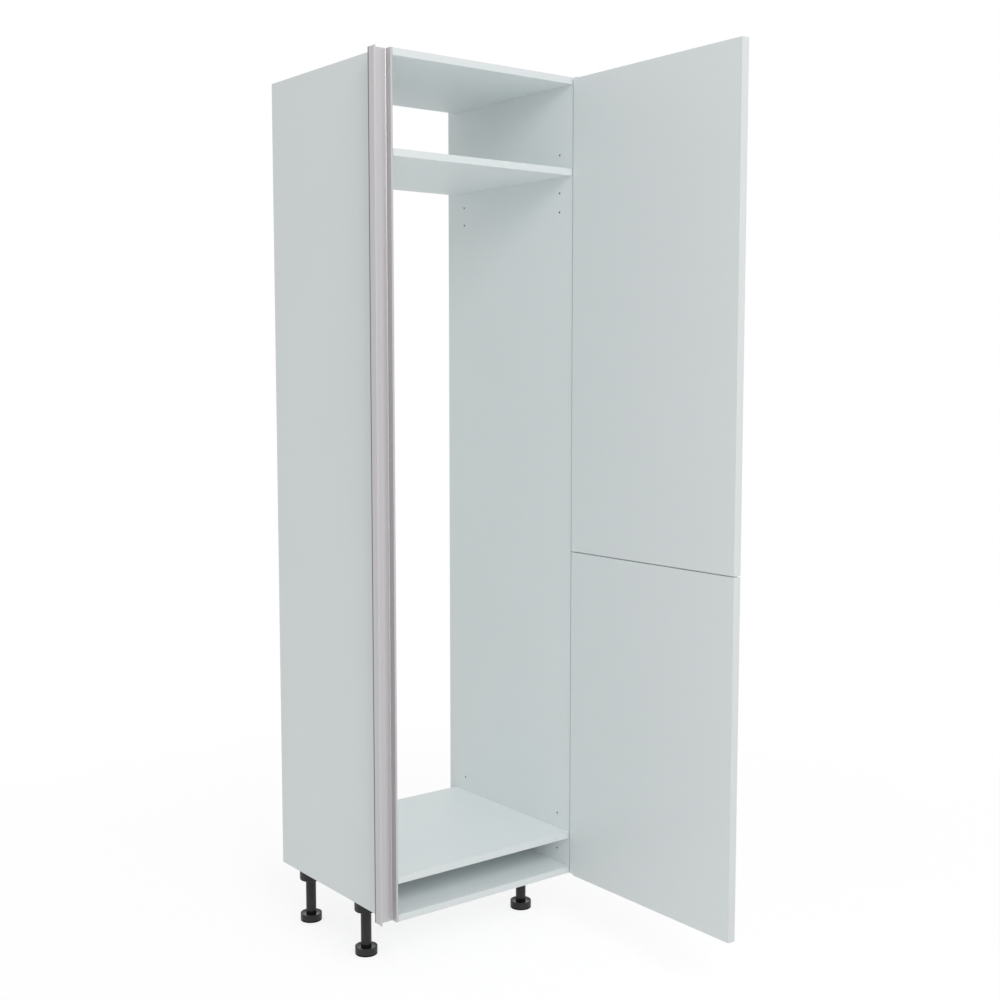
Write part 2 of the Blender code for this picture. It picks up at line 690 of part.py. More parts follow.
def bush_mesh():
    """A flanged sleeve with a closed end, its flange face at zero, going in along +Z."""
    bore = PIN_RADIUS + FIT_GAP
    profile = [
        (bore, 0),
        (BUSH_FLANGE_RADIUS, 0),
        (BUSH_FLANGE_RADIUS, BUSH_FLANGE_THICKNESS),
        (BUSH_RADIUS, BUSH_FLANGE_THICKNESS),
        (BUSH_RADIUS, BUSH_LENGTH),
        (0, BUSH_LENGTH),
        (0, BUSH_LENGTH - BUSH_END_WALL),
        (bore, BUSH_LENGTH - BUSH_END_WALL),
    ]
    return turned(profile, SMALL_ROUND_SIDES, closed=True)


def bush_seat():
    """The stepped bore for that bush, a fit gap larger all round."""
    profile = [
        (0, -CUT_OVERRUN),
        (BUSH_FLANGE_RADIUS + FIT_GAP, -CUT_OVERRUN),
        (BUSH_FLANGE_RADIUS + FIT_GAP, BUSH_FLANGE_THICKNESS + FIT_GAP),
        (BUSH_RADIUS + FIT_GAP, BUSH_FLANGE_THICKNESS + FIT_GAP),
        (BUSH_RADIUS + FIT_GAP, BUSH_LENGTH + FIT_GAP),
        (0, BUSH_LENGTH + FIT_GAP),
    ]
    return turned(profile, SMALL_ROUND_SIDES)


def door(name, bottom, top, lower_plate, upper_plate, corner):
    """A door about its pivot, and a bush at each end, a running gap away from the plate there."""
    pivot = empty(f"{name}_pivot", (PIVOT_X, PIVOT_Y, 0), corner, DOOR_OPEN_ANGLE)
    leaf = block(
        (PIVOT_EDGE_INSET - DOOR_WIDTH, -DOOR_HALF, bottom),
        (PIVOT_EDGE_INSET, DOOR_HALF, top),
        DOOR_EDGE_ROUNDING,
    )
    panel = piece(name, leaf, door_finish(), pivot)
    for end, plate, inward in (("lower", lower_plate, UP), ("upper", upper_plate, DOWN)):
        place = Vector((0, 0, plate)) + inward * FIT_GAP
        bush_name = f"{name}_{end}_bush"
        bush = piece(bush_name, bush_mesh(), nylon_finish(), pivot, place, round_form=True)
        bush.rotation_euler = aimed(inward).to_euler()
        cut(panel, moved_mesh(bush_seat(), inward, place), pivot)
    return panel, pivot


def strap_notch():
    """Room in the lower door for the bottom strap, from shut to fully open."""
    half = STRAP_WIDTH / 2
    reach = PIVOT_EDGE_INSET * math.tan(DOOR_FURTHER_ANGLE) + half / math.cos(DOOR_FURTHER_ANGLE)
    return block(
        (-half - NOTCH_CLEARANCE, -reach - NOTCH_CLEARANCE, LOWER_DOOR_BOTTOM - CUT_OVERRUN),
        (PIVOT_EDGE_INSET + CUT_OVERRUN, DOOR_HALF + CUT_OVERRUN, NOTCH_TOP),
    )


def doors_and_pivots(corner, right_side):
    end_strap("top_pivot_strap", TOP_STRAP_BOTTOM, CARCASS_TOP, True, corner, right_side)
    end_strap(
        "bottom_pivot_strap", LOWER_DOOR_BOTTOM, BOTTOM_STRAP_TOP, False, corner, right_side
    )
    middle_bracket(corner, right_side)
    pivot_pin("top_pivot_pin", TOP_STRAP_BOTTOM - PIN_REACH, CARCASS_TOP, corner)
    pivot_pin("middle_pivot_pin", TONGUE_BOTTOM - PIN_REACH, TONGUE_TOP + PIN_REACH, corner)
    pivot_pin("bottom_pivot_pin", LOWER_DOOR_BOTTOM, BOTTOM_STRAP_TOP + PIN_REACH, corner)
    door("upper_door", UPPER_DOOR_BOTTOM, UPPER_DOOR_TOP, TONGUE_TOP, TOP_STRAP_BOTTOM, corner)
    lower, pivot = door(
        "lower_door", LOWER_DOOR_BOTTOM, LOWER_DOOR_TOP, BOTTOM_STRAP_TOP, TONGUE_BOTTOM, corner
    )
    cut(lower, strap_notch(), pivot)


def ring_places(count, radius):
    """Places spread evenly round the axis, the first on +X."""
    angles = [math.tau * number / count for number in range(count)]
    return [(angle, radius * math.cos(angle), radius * math.sin(angle)) for angle in angles]


def socket_shell():
    """The moulded cup of a leg socket, open at the top, with the boss that takes the column."""
    bore = COLUMN_RADIUS + FIT_GAP
    boss = bore + SOCKET_BOSS_WALL
    floor = SOCKET_BOTTOM + SOCKET_WALL
    rounding = arc(
        (SOCKET_RADIUS - SOCKET_ROUNDING, SOCKET_BOTTOM + SOCKET_ROUNDING),
        SOCKET_ROUNDING,
        -90,
        0,
        SOCKET_ROUNDING_STEPS,
    )
    profile = [
        (bore, SOCKET_BOTTOM),
        *rounding,
        (SOCKET_RADIUS, SOCKET_TOP),
        (SOCKET_RADIUS - SOCKET_WALL, SOCKET_TOP),
        (SOCKET_RADIUS - SOCKET_WALL, SOCKET_BOTTOM + SOCKET_ROUNDING),
        (SOCKET_RADIUS - SOCKET_ROUNDING, floor),
        (boss, floor),
        (boss, SOCKET_TOP),
        (bore - COLUMN_WALL, SOCKET_TOP),
        (bore - COLUMN_WALL, SOCKET_TOP - SOCKET_STOP_HEIGHT),
        (bore, SOCKET_TOP - SOCKET_STOP_HEIGHT),
    ]
    return turned(profile, LARGE_ROUND_SIDES, closed=True)


def socket_peg():
    """A press-in peg of the socket on its shoulder, about its own axis."""
    top = FLOOR_CLEARANCE + PEG_HEIGHT
    profile = [
        (0, SOCKET_BOTTOM + SOCKET_WALL / 2),
        (PEG_RADIUS + PEG_SHOULDER, SOCKET_BOTTOM + SOCKET_WALL / 2),
        (PEG_RADIUS + PEG_SHOULDER, SOCKET_TOP),
        (PEG_RADIUS, SOCKET_TOP),
        (PEG_RADIUS, top - PEG_TAPER),
        (PEG_RADIUS - PEG_TAPER, top),
        (0, top),
    ]
    return turned(profile, DOWEL_SIDES)


def socket_rib():
    """A web between the boss and the outer wall, sunk a little into both, along +X."""
    start = COLUMN_RADIUS + FIT_GAP + SOCKET_BOSS_WALL - SOCKET_RIB_SINK
    stop = SOCKET_RADIUS - SOCKET_WALL + SOCKET_RIB_SINK
    return block(
        (start, -SOCKET_RIB_THICKNESS / 2, SOCKET_BOTTOM + SOCKET_WALL / 2),
        (stop, SOCKET_RIB_THICKNESS / 2, SOCKET_TOP - SOCKET_RIB_SINK),
    )


def socket_mesh():
    """The whole socket in one mesh, about the leg's axis."""
    base = bpy.data.objects.new("socket_shape", socket_shell())
    bpy.context.scene.collection.objects.link(base)
    tools = []
    for number, (_, across, along) in enumerate(ring_places(PEG_COUNT, PEG_CIRCLE_RADIUS)):
        tools.append(helper(f"socket_peg_{number}", socket_peg(), None, (across, along, 0)))
    for number, (angle, _, _) in enumerate(ring_places(SOCKET_RIB_COUNT, PEG_CIRCLE_RADIUS)):
        rib = socket_rib()
        rib.transform(Matrix.Rotation(angle + math.pi, 4, UP))
        tools.append(helper(f"socket_rib_{number}", rib, None))
    for tool in tools:
        combine(base, tool, "UNION")
    graph = bpy.context.evaluated_depsgraph_get()
    mesh = bpy.data.meshes.new_from_object(base.evaluated_get(graph))
    for used in (base, *tools):
        bpy.data.objects.remove(used, do_unlink=True)
    return mesh


def column_mesh():
    """The tube of a leg: open above, with a thick threaded end below."""
    hole = SPINDLE_RADIUS + FIT_GAP
    inside = COLUMN_RADIUS - COLUMN_WALL
    profile = [
        (hole, COLUMN_BOTTOM),
        (COLUMN_RADIUS - COLUMN_ROUNDING, COLUMN_BOTTOM),
        (COLUMN_RADIUS, COLUMN_BOTTOM + COLUMN_ROUNDING),
        (COLUMN_RADIUS, COLUMN_TOP),
        (inside, COLUMN_TOP),
        (inside, COLUMN_BOTTOM + COLUMN_NUT_HEIGHT),
        (hole, COLUMN_BOTTOM + COLUMN_NUT_HEIGHT),
    ]
    return turned(profile, LARGE_ROUND_SIDES, closed=True)


def foot_mesh():
    """The foot of a leg: a dished cup, a collar under the column and the spindle that goes up into it."""
    collar_top = COLUMN_BOTTOM - FIT_GAP
    dish = FOOT_HEIGHT - FOOT_DISH_DEPTH
    rim_inner = FOOT_RADIUS - FOOT_RIM
    spindle_top = collar_top + SPINDLE_LENGTH
    profile = [
        (0, 0),
        (FOOT_RADIUS - FOOT_EDGE_ROUNDING, 0),
        (FOOT_RADIUS, FOOT_EDGE_ROUNDING),
        (FOOT_RADIUS, FOOT_HEIGHT - FOOT_EDGE_ROUNDING),
        (FOOT_RADIUS - FOOT_EDGE_ROUNDING, FOOT_HEIGHT),
        (rim_inner, FOOT_HEIGHT),
        (rim_inner, dish),
        (COLUMN_RADIUS + COLLAR_BASE_ROUNDING, dish),
        (COLUMN_RADIUS, dish + COLLAR_BASE_ROUNDING),
        (COLUMN_RADIUS, collar_top),
        (SPINDLE_RADIUS, collar_top),
        (SPINDLE_RADIUS, spindle_top - SPINDLE_CHAMFER),
        (SPINDLE_RADIUS - SPINDLE_CHAMFER, spindle_top),
        (0, spindle_top),
    ]
    return turned(profile, LARGE_ROUND_SIDES)


def legs(corner, base):
    """Four legs under the base, each a socket, a column and a foot on one axis."""
    socket = socket_mesh()
    column = column_mesh()
    foot = foot_mesh()
    peg_bores = []
    for end, back in (("front", FRONT_LEG_SETBACK), ("rear", REAR_LEG_SETBACK)):
        for side, across, turn in (
            ("left", LEG_SIDE_INSET, 0.0),
            ("right", UNIT_WIDTH - LEG_SIDE_INSET, math.pi),
        ):
            axis = empty(f"{end}_{side}_leg", (across, back, 0), corner, turn)
            piece(f"{end}_{side}_leg_socket", socket, black_plastic_finish(), axis, round_form=True)
            piece(f"{end}_{side}_leg_column", column, black_plastic_finish(), axis, round_form=True)
            piece(f"{end}_{side}_leg_foot", foot, black_plastic_finish(), axis, round_form=True)
            facing = math.cos(turn)
            for _, peg_across, peg_along in ring_places(PEG_COUNT, PEG_CIRCLE_RADIUS):
                mouth = (across + facing * peg_across, back + facing * peg_along, FLOOR_CLEARANCE)
                peg_bores.append((mouth, UP, PEG_RADIUS + FIT_GAP, PEG_HEIGHT + FIT_GAP))
    cut(base, bores(peg_bores), corner)


def even_facets():
    """Splits the faces that a cut went through into well-shaped triangles."""
    for made in bpy.context.scene.collection.objects:
        if made.modifiers:
            modifier = made.modifiers.new("even_facets", "TRIANGULATE")
            modifier.quad_method = "BEAUTY"
            modifier.ngon_method = "BEAUTY"


def main():
    clear_scene()
    corner = empty("unit_corner", (CORNER_X, CORNER_Y, 0))
    boards = carcass(corner)
    handle_profile(corner)
    profile_brackets(corner, boards["left_side_panel"])
    doors_and_pivots(corner, boards["right_side_panel"])
    legs(corner, boards["base_panel"])
    even_facets()


main()
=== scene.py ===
"""Looks of a tall kitchen unit that houses a built-in fridge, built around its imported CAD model.

Sizes are in millimetres, measured as a fitter would: from the lower front corner of the left side,
X to the right, Y to the back and Z up from the floor. Each finished mesh is then laid in the row frame.
"""

import math

import bmesh
import bpy
from mathutils import Matrix, Vector

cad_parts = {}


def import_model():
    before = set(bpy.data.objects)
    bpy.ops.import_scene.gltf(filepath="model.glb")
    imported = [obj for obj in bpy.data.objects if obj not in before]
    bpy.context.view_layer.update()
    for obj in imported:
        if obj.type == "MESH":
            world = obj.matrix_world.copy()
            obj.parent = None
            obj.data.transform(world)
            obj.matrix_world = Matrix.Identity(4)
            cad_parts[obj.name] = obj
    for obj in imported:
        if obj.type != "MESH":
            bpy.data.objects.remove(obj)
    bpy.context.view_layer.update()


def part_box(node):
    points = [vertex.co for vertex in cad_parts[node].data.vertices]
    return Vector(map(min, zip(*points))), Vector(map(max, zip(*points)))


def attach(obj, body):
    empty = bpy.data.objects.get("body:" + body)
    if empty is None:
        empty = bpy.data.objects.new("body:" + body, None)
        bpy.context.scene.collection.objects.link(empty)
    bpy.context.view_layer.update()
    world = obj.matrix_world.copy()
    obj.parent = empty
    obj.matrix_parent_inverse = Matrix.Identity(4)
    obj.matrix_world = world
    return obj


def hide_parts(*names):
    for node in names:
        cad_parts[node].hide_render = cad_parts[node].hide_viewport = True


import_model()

MM = 0.001
UP = Vector((0, 0, 1))
DOWN = Vector((0, 0, -1))
RIGHT = Vector((1, 0, 0))
LEFT = Vector((-1, 0, 0))
BACK = Vector((0, 1, 0))
WHITE = (1, 1, 1, 1)

# Boards
UNIT_WIDTH = 600
BOARD_THICKNESS = 18
CORE_EASING = 0.15
FRONT_BAND = 1.0
HINGE_SIDE_BAND = 2.0
REAR_BAND = 0.5
BAND_ROUNDING = 0.8
HINGE_SIDE_ROUNDING = 1.5
MOST_ROUNDING = 0.8  # of a band's thickness
BAND_SEAM_CHAMFER = 0.12
BAND_SEAM = 0.02

# Holes
PIN_HOLE_RADIUS = 2.5
PIN_HOLE_DEPTH = 12
PIN_HOLE_PITCH = 50
PIN_HOLE_FLARE = 0.35
FRONT_ROW = 52
REAR_ROW = 482
END_BOARD_REAR_DOWEL = 510
HOLE_STEPS = {"lower_shelf": (-1, 1), "upper_shelf": (-2, -1, 1)}
FIT_GAP = 0.3
OVERRUN = 2.0

# Dowels
DOWEL_RADIUS = 4.0
DOWEL_LENGTH = 30.0
DOWEL_IN_SIDE = 12.0
DOWEL_FLUTES = 18
DOWEL_FLUTE_DEPTH = 0.3
DOWEL_TIP = 0.78  # of its width
DOWEL_TIP_START = 0.46  # of its length, from the middle

# Doors
DOOR_ROUNDING = 0.5
NOTCH_TOP = 153.0
NOTCH_REACH = 7.82
NOTCH_CLEARANCE = 0.5

# Handle profile, its section in plan
PROFILE_WALL = 1.6
FLANGE_OUTER = -30.0
FLANGE_REAR = 34.0
LIP = 3.5
LIP_SETBACK = 1.4
CHANNEL_DEPTH = 19.0
WALL_BACK = 20.6
RIB_LEFT = 12.3
RIB_RIGHT = 17.7
RIB_WALL = 1.2
FILLET_RADIUS = 2.5
SLOT_LEFT = -22.6
SLOT_RIGHT = -7.4
SLOT_BACK = 23.2
HOOK_WALL = 1.4
HOOK_LIP = 3.0
NOSE_ROUNDING = 0.6
SECTION_ROUNDING = 0.35
HOLLOW_ROUNDING = 0.5
SEAL_DEPTH = 4.4
SEAL_EDGE = 0.1
SEAL_ROUNDING = 0.7

# Brackets
BRACKET_HEIGHT = 40.0
BRACKET_WALL = 3.0
BRACKET_NECK = 4.0
BRACKET_HEAD = 2.0
BRACKET_FOOT = 26
BRACKET_ROUNDING = 0.3
BRACKET_SCREW_BACK = 46.72
BRACKET_MIDDLES = {"lower": 364.5, "middle": 1222.5, "upper": 2080.5}

# Pivot hinges
STRAP_HALF = 5.0
STRAP_TAIL = 44.0
STRAP_EASING = 0.35
LEAF_THICKNESS = 2.0
LEAF_EASING = 0.3
LEAF_SCREW_SHARES = (0.17, 0.83)
TONGUE = 2
TONGUE_ROOT = 1
TONGUE_EASING = 0.25
PIN_RADIUS = 2.5
PIN_ROUNDING = 0.6
BUSH_RADIUS = 4.6
BUSH_LENGTH = 16.0
BUSH_FLANGE_RADIUS = 6.5
BUSH_FLANGE = 1.2
BUSH_END = 1
STRAP_SCREW_PLACES = (12.32, 32.56)

# Screws
STRAP_SCREW = 22
LEAF_SCREW = 20
BRACKET_SCREW = 15
SCREW_RADIUS = 1.6
SCREW_CORE = 1.15
SCREW_HEAD_RADIUS = 3.4
SCREW_HEAD = 1.7
SCREW_NECK = 1
SCREW_TIP = 3.0
SCREW_SUNK = 0.2
SCREW_PITCH = 1.4
SCREW_TURN = 20
HEAD_EDGE = 0.15
HEAD_EDGE_DEPTH = 0.12
THREAD_START = 1.5
RECESS_WIDTH = 0.7
RECESS_REACH = 1.9
RECESS_DEPTH = 1.3

# Legs
SOCKET_RADIUS = 30.5
SOCKET_BOTTOM = 117.0
SOCKET_TOP = 149.7
SOCKET_WALL = 2.4
SOCKET_ROUNDING = 4.0
SOCKET_STOP = 3
BOSS_WALL = 2.6
WEB = 1.8
WEB_SINK = 0.6
WEB_EASING = 0.2
PEGS = 3
PEG_CIRCLE = 22.6
PEG_RADIUS = 4.2
PEG_SHOULDER = 0.9
PEG_START = 1.2
PEG_TOP = 161.0
PEG_NOSE = 1.4
BARBS = 4
BARB_PITCH = 2.4
BARB_DEPTH = 0.5
BARB_EDGE = 0.2
BARB_LENGTH = 2.0
COLUMN_RADIUS = 14.0
COLUMN_BOTTOM = 27.0
COLUMN_TOP = 146.4
COLUMN_WALL = 3.0
COLUMN_FLOOR = 14
COLUMN_EDGE = 0.4
FOOT_RADIUS = 29.5
FOOT_HEIGHT = 21.0
FOOT_RIM = 2.4
DISH_FLOOR = 15.0
DISH_START = 1
SOLE = 4.2
SOLE_INSET = 0.25
SPINDLE_RADIUS = 5.0
SPINDLE_CORE = 4.35
SPINDLE_TOP = 84.7
SPINDLE_PITCH = 1.5
SPINDLE_THREAD_START = 1.2
SPINDLE_NOSE = 1.5
COLLAR_START = 1.5

# Meshes
HOLE_SIDES = 28
SCREW_SIDES = 32
PIN_SIDES = 36
BUSH_SIDES = 40
PEG_SIDES = 24
LEG_SIDES = 64
STRAP_STEPS = 20
FILLET_STEPS = 18
THREAD_STEPS = 20
TOOTH_SIDES = 4
DOWEL_STEPS = 21
TOUCH = 0.001
SLACK = 0.1
SIDE_SHARE = 0.45
SHARP_ANGLE = 32
EASED_ANGLE = 40
FACING = 0.7
MIDDLE_RANGE = (0.3, 0.7)

# Light and floor, in metres
AMBIENT = 0.555
FLOOR_RADIUS = 30
FLOOR_TONE = (0.92, 0.92, 0.92)
FLOOR_TONE_SEEN = (1.3, 1.3, 1.3)
FADE_START = 0.6
FADE_STOP = 2.6
LEAST_WHITE = 0.8

# Row frame
right_low, right_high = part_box("right_side_panel")
CORNER = Vector((right_high.x - UNIT_WIDTH * MM, right_low.y, 0))
TO_ROW = Matrix.Translation(CORNER) @ Matrix.Diagonal((MM, MM, MM, 1))
FROM_ROW = TO_ROW.inverted()


def limits(node):
    """The lowest and highest corner of a CAD node, in the fitter's millimetres."""
    low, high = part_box(node)
    return FROM_ROW @ low, FROM_ROW @ high


def heights(node):
    """Where a CAD node starts and ends in height."""
    low, high = limits(node)
    return low.z, high.z


def standing(node):
    """Where the middle of a CAD node is in plan."""
    low, high = limits(node)
    return (low.x + high.x) / 2, (low.y + high.y) / 2


class Nodes:
    """A node tree, with short ways to add to it."""

    def __init__(self, tree):
        self.tree = tree

    def feed(self, socket, value):
        """Links an output to a socket, or sets a plain value on it."""
        if isinstance(value, bpy.types.NodeSocket):
            self.tree.links.new(value, socket)
        else:
            socket.default_value = value

    def add(self, kind, feeds=None, give=0, **settings):
        """Adds a node, with what feeds each input and its settings, and gives one of its outputs."""
        made = self.tree.nodes.new(kind)
        for key, value in settings.items():
            setattr(made, key, value)
        for key, value in (feeds or {}).items():
            self.feed(made.inputs[key], value)
        return made.outputs[give]

    def maths(self, operation, *values):
        return self.add("ShaderNodeMath", dict(enumerate(values)), operation=operation)

    def ranged(self, value, start, stop, low, high):
        """Maps start to stop on low to high."""
        ends = {"Value": value, "From Min": start, "From Max": stop, "To Min": low, "To Max": high}
        return self.add("ShaderNodeMapRange", ends)

    def mixed(self, factor, *colours):
        """A blend of two colours, each a plain one or an output."""
        first, second = [(*c, 1) if isinstance(c, tuple) else c for c in colours]
        return self.add("ShaderNodeMix", {0: factor, 6: first, 7: second}, give=2, data_type="RGBA")

    def seen_by(self, *kinds):
        """1 for the given kinds of ray, else 0."""
        rays = self.tree.nodes.new("ShaderNodeLightPath").outputs
        total = rays[f"Is {kinds[0]} Ray"]
        for kind in kinds[1:]:
            total = self.maths("MAXIMUM", total, rays[f"Is {kind} Ray"])
        return total


# Finishes


class Finish(Nodes):
    """A procedural finish: one Principled shader and the textures that feed it."""

    def __init__(self, name, colour, roughness, gloss=0.5, **constants):
        self.material = bpy.data.materials.new(name)
        self.material.use_nodes = True
        self.material.diffuse_color = (*colour, 1)
        super().__init__(self.material.node_tree)
        self.colour = colour
        self.normal = None
        self.inputs = self.tree.nodes["Principled BSDF"].inputs
        names = {name.lower().replace(" ", "_"): name for name in self.inputs.keys()}
        own = {"base_color": (*colour, 1), "roughness": roughness, "specular_ior_level": gloss}
        for word, value in {**own, **constants}.items():
            self.inputs[names[word]].default_value = value

    def noise(self, scale, detail=2.0, rough=0.5, stretch=(1, 1, 1)):
        """Noise on the piece's own coordinates in metres, squeezed along each axis."""
        feeds = {"Vector": self.points(stretch), "Scale": scale, "Detail": detail, "Roughness": rough}
        return self.add("ShaderNodeTexNoise", feeds)

    def chips(self, scale, squeeze):
        """The grey tones of pressed chips that lie flat in the board."""
        feeds = {"Vector": self.points((1, 1, squeeze)), "Scale": scale}
        flakes = self.add("ShaderNodeTexVoronoi", feeds, give="Color")
        return self.add("ShaderNodeRGBToBW", {"Color": flakes})

    def points(self, stretch):
        place = self.add("ShaderNodeTexCoord", give="Object")
        return self.add("ShaderNodeMapping", {"Vector": place, "Scale": stretch})

    def spread(self, texture, low=0, high=1):
        """Maps the middle of a texture's range on low to high."""
        return self.ranged(texture, *MIDDLE_RANGE, low, high)

    def shade(self, share):
        return tuple(value * share for value in self.colour)

    def paint(self, factor, first, second):
        """Lets a factor move the base colour between two colours, or between two shares of its own."""
        ends = [self.shade(end) if isinstance(end, float) else end for end in (first, second)]
        self.feed(self.inputs["Base Color"], self.mixed(factor, *ends))

    def rub(self, texture, low, high):
        """Lets a texture move the roughness."""
        self.feed(self.inputs["Roughness"], self.spread(texture, low, high))

    def bump(self, height, strength, distance):
        """Adds relief on top of what the finish has. The distance is in millimetres."""
        feeds = {"Height": height, "Strength": strength, "Distance": distance * MM}
        if self.normal:
            feeds["Normal"] = self.normal
        self.normal = self.add("ShaderNodeBump", feeds)
        self.feed(self.inputs["Normal"], self.normal)


def textured(name, colour, roughness, tone, rub=None, relief=(), spread=True, **constants):
    """A finish from noises: one moves its tone, one its roughness, and the others are its relief.

    Each is a noise's scale, detail, roughness and stretch, and then two ends, or a strength and a distance.
    """
    made = Finish(name, colour, roughness, **constants)
    clouds = made.noise(*tone[0])
    made.paint(made.spread(clouds) if spread else clouds, *tone[1:])
    if rub:
        made.rub(made.noise(*rub[0]), *rub[1:])
    for noise, strength, distance in relief:
        made.bump(made.noise(*noise), strength, distance)
    return made.material


def melamine():
    """Paper-faced board: a fine pearl grain and the faintest clouding."""
    made = Finish("pale melamine", (0.85, 0.9, 0.903), 0.5, gloss=0.4)
    clouds = made.spread(made.noise(3.2, 3.0))
    grain = made.spread(made.noise(900))
    cloudy = made.mixed(clouds, made.shade(0.992), made.shade(1.006))
    made.paint(made.spread(grain, 0, 0.35), cloudy, 0.97)
    made.rub(made.noise(420, 3.0), 0.46, 0.56)
    made.bump(made.noise(1500, 3.0, 0.65), 0.07, 0.04)
    made.bump(made.noise(260), 0.03, 0.06)
    return made.material


def edge_band(name, colour):
    """Plastic edge band, with the drag marks of the edge scraper."""
    drag = (160, 3.0, 0.5, (1, 1, 0.06))
    scrape = (1100, 2.0, 0.5, (1, 1, 0.2))
    return textured(
        name, colour, 0.42, gloss=0.45,
        tone=(drag, 0.985, 1.01), rub=((700,), 0.38, 0.48), relief=[(scrape, 0.12, 0.04)],
    )


def chipboard():
    """The bare core inside a bore: pressed chips, pale and brown."""
    made = Finish("bare chipboard", (0.42, 0.3, 0.18), 0.85)
    chips = made.chips(620, 1.8)
    made.paint(chips, (0.2, 0.13, 0.07), (0.6, 0.46, 0.3))
    made.bump(chips, 0.5, 0.25)
    made.bump(made.noise(2200, 3.0), 0.3, 0.1)
    return made.material


def drilled_core():
    """The wall of a shelf pin hole, burnished grey by the drill."""
    made = Finish("drilled core", (0.27, 0.27, 0.265), 0.8)
    chips = made.chips(700, 1.6)
    made.paint(chips, (0.19, 0.19, 0.185), (0.35, 0.35, 0.345))
    made.bump(chips, 0.4, 0.15)
    return made.material


def beech():
    """Bare beech with its grain and short dark flecks along the dowel."""
    made = Finish("bare beech", (0.6, 0.42, 0.25), 0.7)
    grain = made.spread(made.noise(900, 4.0, 0.6, (0.08, 1, 1)))
    flecks = made.ranged(made.noise(1400, stretch=(0.25, 1, 1)), 0.6, 0.72, 0, 0.8)
    made.paint(flecks, made.mixed(grain, (0.5, 0.33, 0.18), (0.66, 0.48, 0.3)), (0.3, 0.17, 0.08))
    made.rub(grain, 0.62, 0.78)
    made.bump(grain, 0.3, 0.08)
    return made.material


MELAMINE = melamine()
# Front edge bands a shade darker than the boards: painted shade, holding down the front lamp's light on the
# edges that face it
SHADED_BAND = edge_band("edge band", (0.7, 0.739, 0.742))
# Door edges that face the front, a further shade darker: painted shade
SHADED_DOOR_BAND = edge_band("door edge band", (0.65, 0.68, 0.682))
THIN_BAND = edge_band("thin edge band", (0.83, 0.879, 0.882))
CHIPBOARD = chipboard()
PIN_HOLE = drilled_core()
BEECH = beech()
DIE_LINES = (1500, 3.0, 0.6, (1, 1, 0.0003))
DRAG_LINES = (600, 2.0, 0.5, (1, 1, 0.01))

# Sprayed satin lacquer on the doors: a soft ripple and a thin clear top coat. Its white sits a shade below
# the boards' melamine: painted shade on the doors.
LACQUER = textured(
    "satin lacquer", (0.81, 0.858, 0.862), 0.42, gloss=0.45, coat_weight=0.12, coat_roughness=0.3,
    tone=((2.4,), 0.994, 1.004), rub=((90, 3.0), 0.39, 0.46), relief=[((330,), 0.05, 0.05)],
)
# Satin anodised extrusion, with the faint lines of the die along its length
ALUMINIUM = textured(
    "anodised aluminium", (0.558, 0.545, 0.556), 0.42, metallic=0.7, coat_weight=0.25, coat_roughness=0.14,
    tone=((210, 3.0, 0.5, (1, 1, 0.0006)), 0.965, 1.035), rub=(DIE_LINES, 0.38, 0.46),
    relief=[(DIE_LINES, 0.07, 0.03), ((3200,), 0.05, 0.02)],
)
# Grey rubber lip, matt, with the faint drag lines of its extrusion
SEAL = textured(
    "grey rubber seal", (0.2, 0.205, 0.205), 0.6, gloss=0.3,
    tone=(DRAG_LINES, 0.9, 1.08), relief=[(DRAG_LINES, 0.15, 0.04)],
)
# Moulded black plastic with a spark-eroded grain, a little uneven in its flow
PLASTIC = textured(
    "moulded black plastic", (0.0188, 0.0191, 0.0193), 0.42, gloss=0.34,
    tone=((45, 3.0, 0.5, (1, 1, 0.35)), 0.8, 1.3), rub=((300, 3.0), 0.36, 0.5),
    relief=[((1300, 3.0, 0.6), 0.3, 0.06)],
)
# A paler grey on the open face of a foot's dish, its floor and the wall round it
DISH = textured(
    "grey glass-filled plastic", (0.37, 0.373, 0.376), 0.35, gloss=0.5, spread=False,
    tone=((500, 3.0), 0.8, 1.15), relief=[((1500, 3.0, 0.6), 0.2, 0.05)],
)
# Near-black, matt finish under a foot and on the collar below the column: painted shade for the contact
# shadow at the floor and the shade under the column
FOOT_SHADE_BLACK = textured(
    "black rubber", (0.004, 0.004, 0.004), 0.62, gloss=0.18, spread=False,
    tone=((260, 3.0), 0.7, 1.4), relief=[((900, 3.0, 0.6), 0.3, 0.06)],
)
# Bright zinc plate, with the clouds of its passivation and fine rolling marks
ZINC = textured(
    "zinc plate", (0.66, 0.67, 0.68), 0.32, metallic=1.0,
    tone=((130, 4.0, 0.6), (0.6, 0.62, 0.66), (0.72, 0.7, 0.64)), rub=((420, 3.0), 0.25, 0.4),
    relief=[((1600, 2.0, 0.5, (1, 0.15, 1)), 0.2, 0.03)],
)
# Die-cast brackets: duller than plate, with a sandy skin
DIE_CAST = textured(
    "die-cast zinc alloy", (0.5, 0.5, 0.51), 0.46, metallic=1.0,
    tone=((90, 4.0, 0.65), 0.85, 1.12), rub=((700, 3.0), 0.4, 0.56),
    relief=[((1000, 4.0, 0.65), 0.4, 0.08)],
)
# White nylon, slightly see-through and waxy
NYLON = textured(
    "white nylon", (0.8, 0.8, 0.77), 0.45, gloss=0.45, subsurface_weight=0.15, subsurface_scale=0.002,
    spread=False, tone=((120,), 0.95, 1.03), relief=[((1500,), 0.15, 0.04)],
)


# Mesh tools, all in millimetres


def plain_mesh(work, finishes):
    """Turns a bmesh into a mesh with its finishes."""
    mesh = bpy.data.meshes.new("part")
    work.to_mesh(mesh)
    work.free()
    for finish in finishes:
        mesh.materials.append(finish)
    return mesh


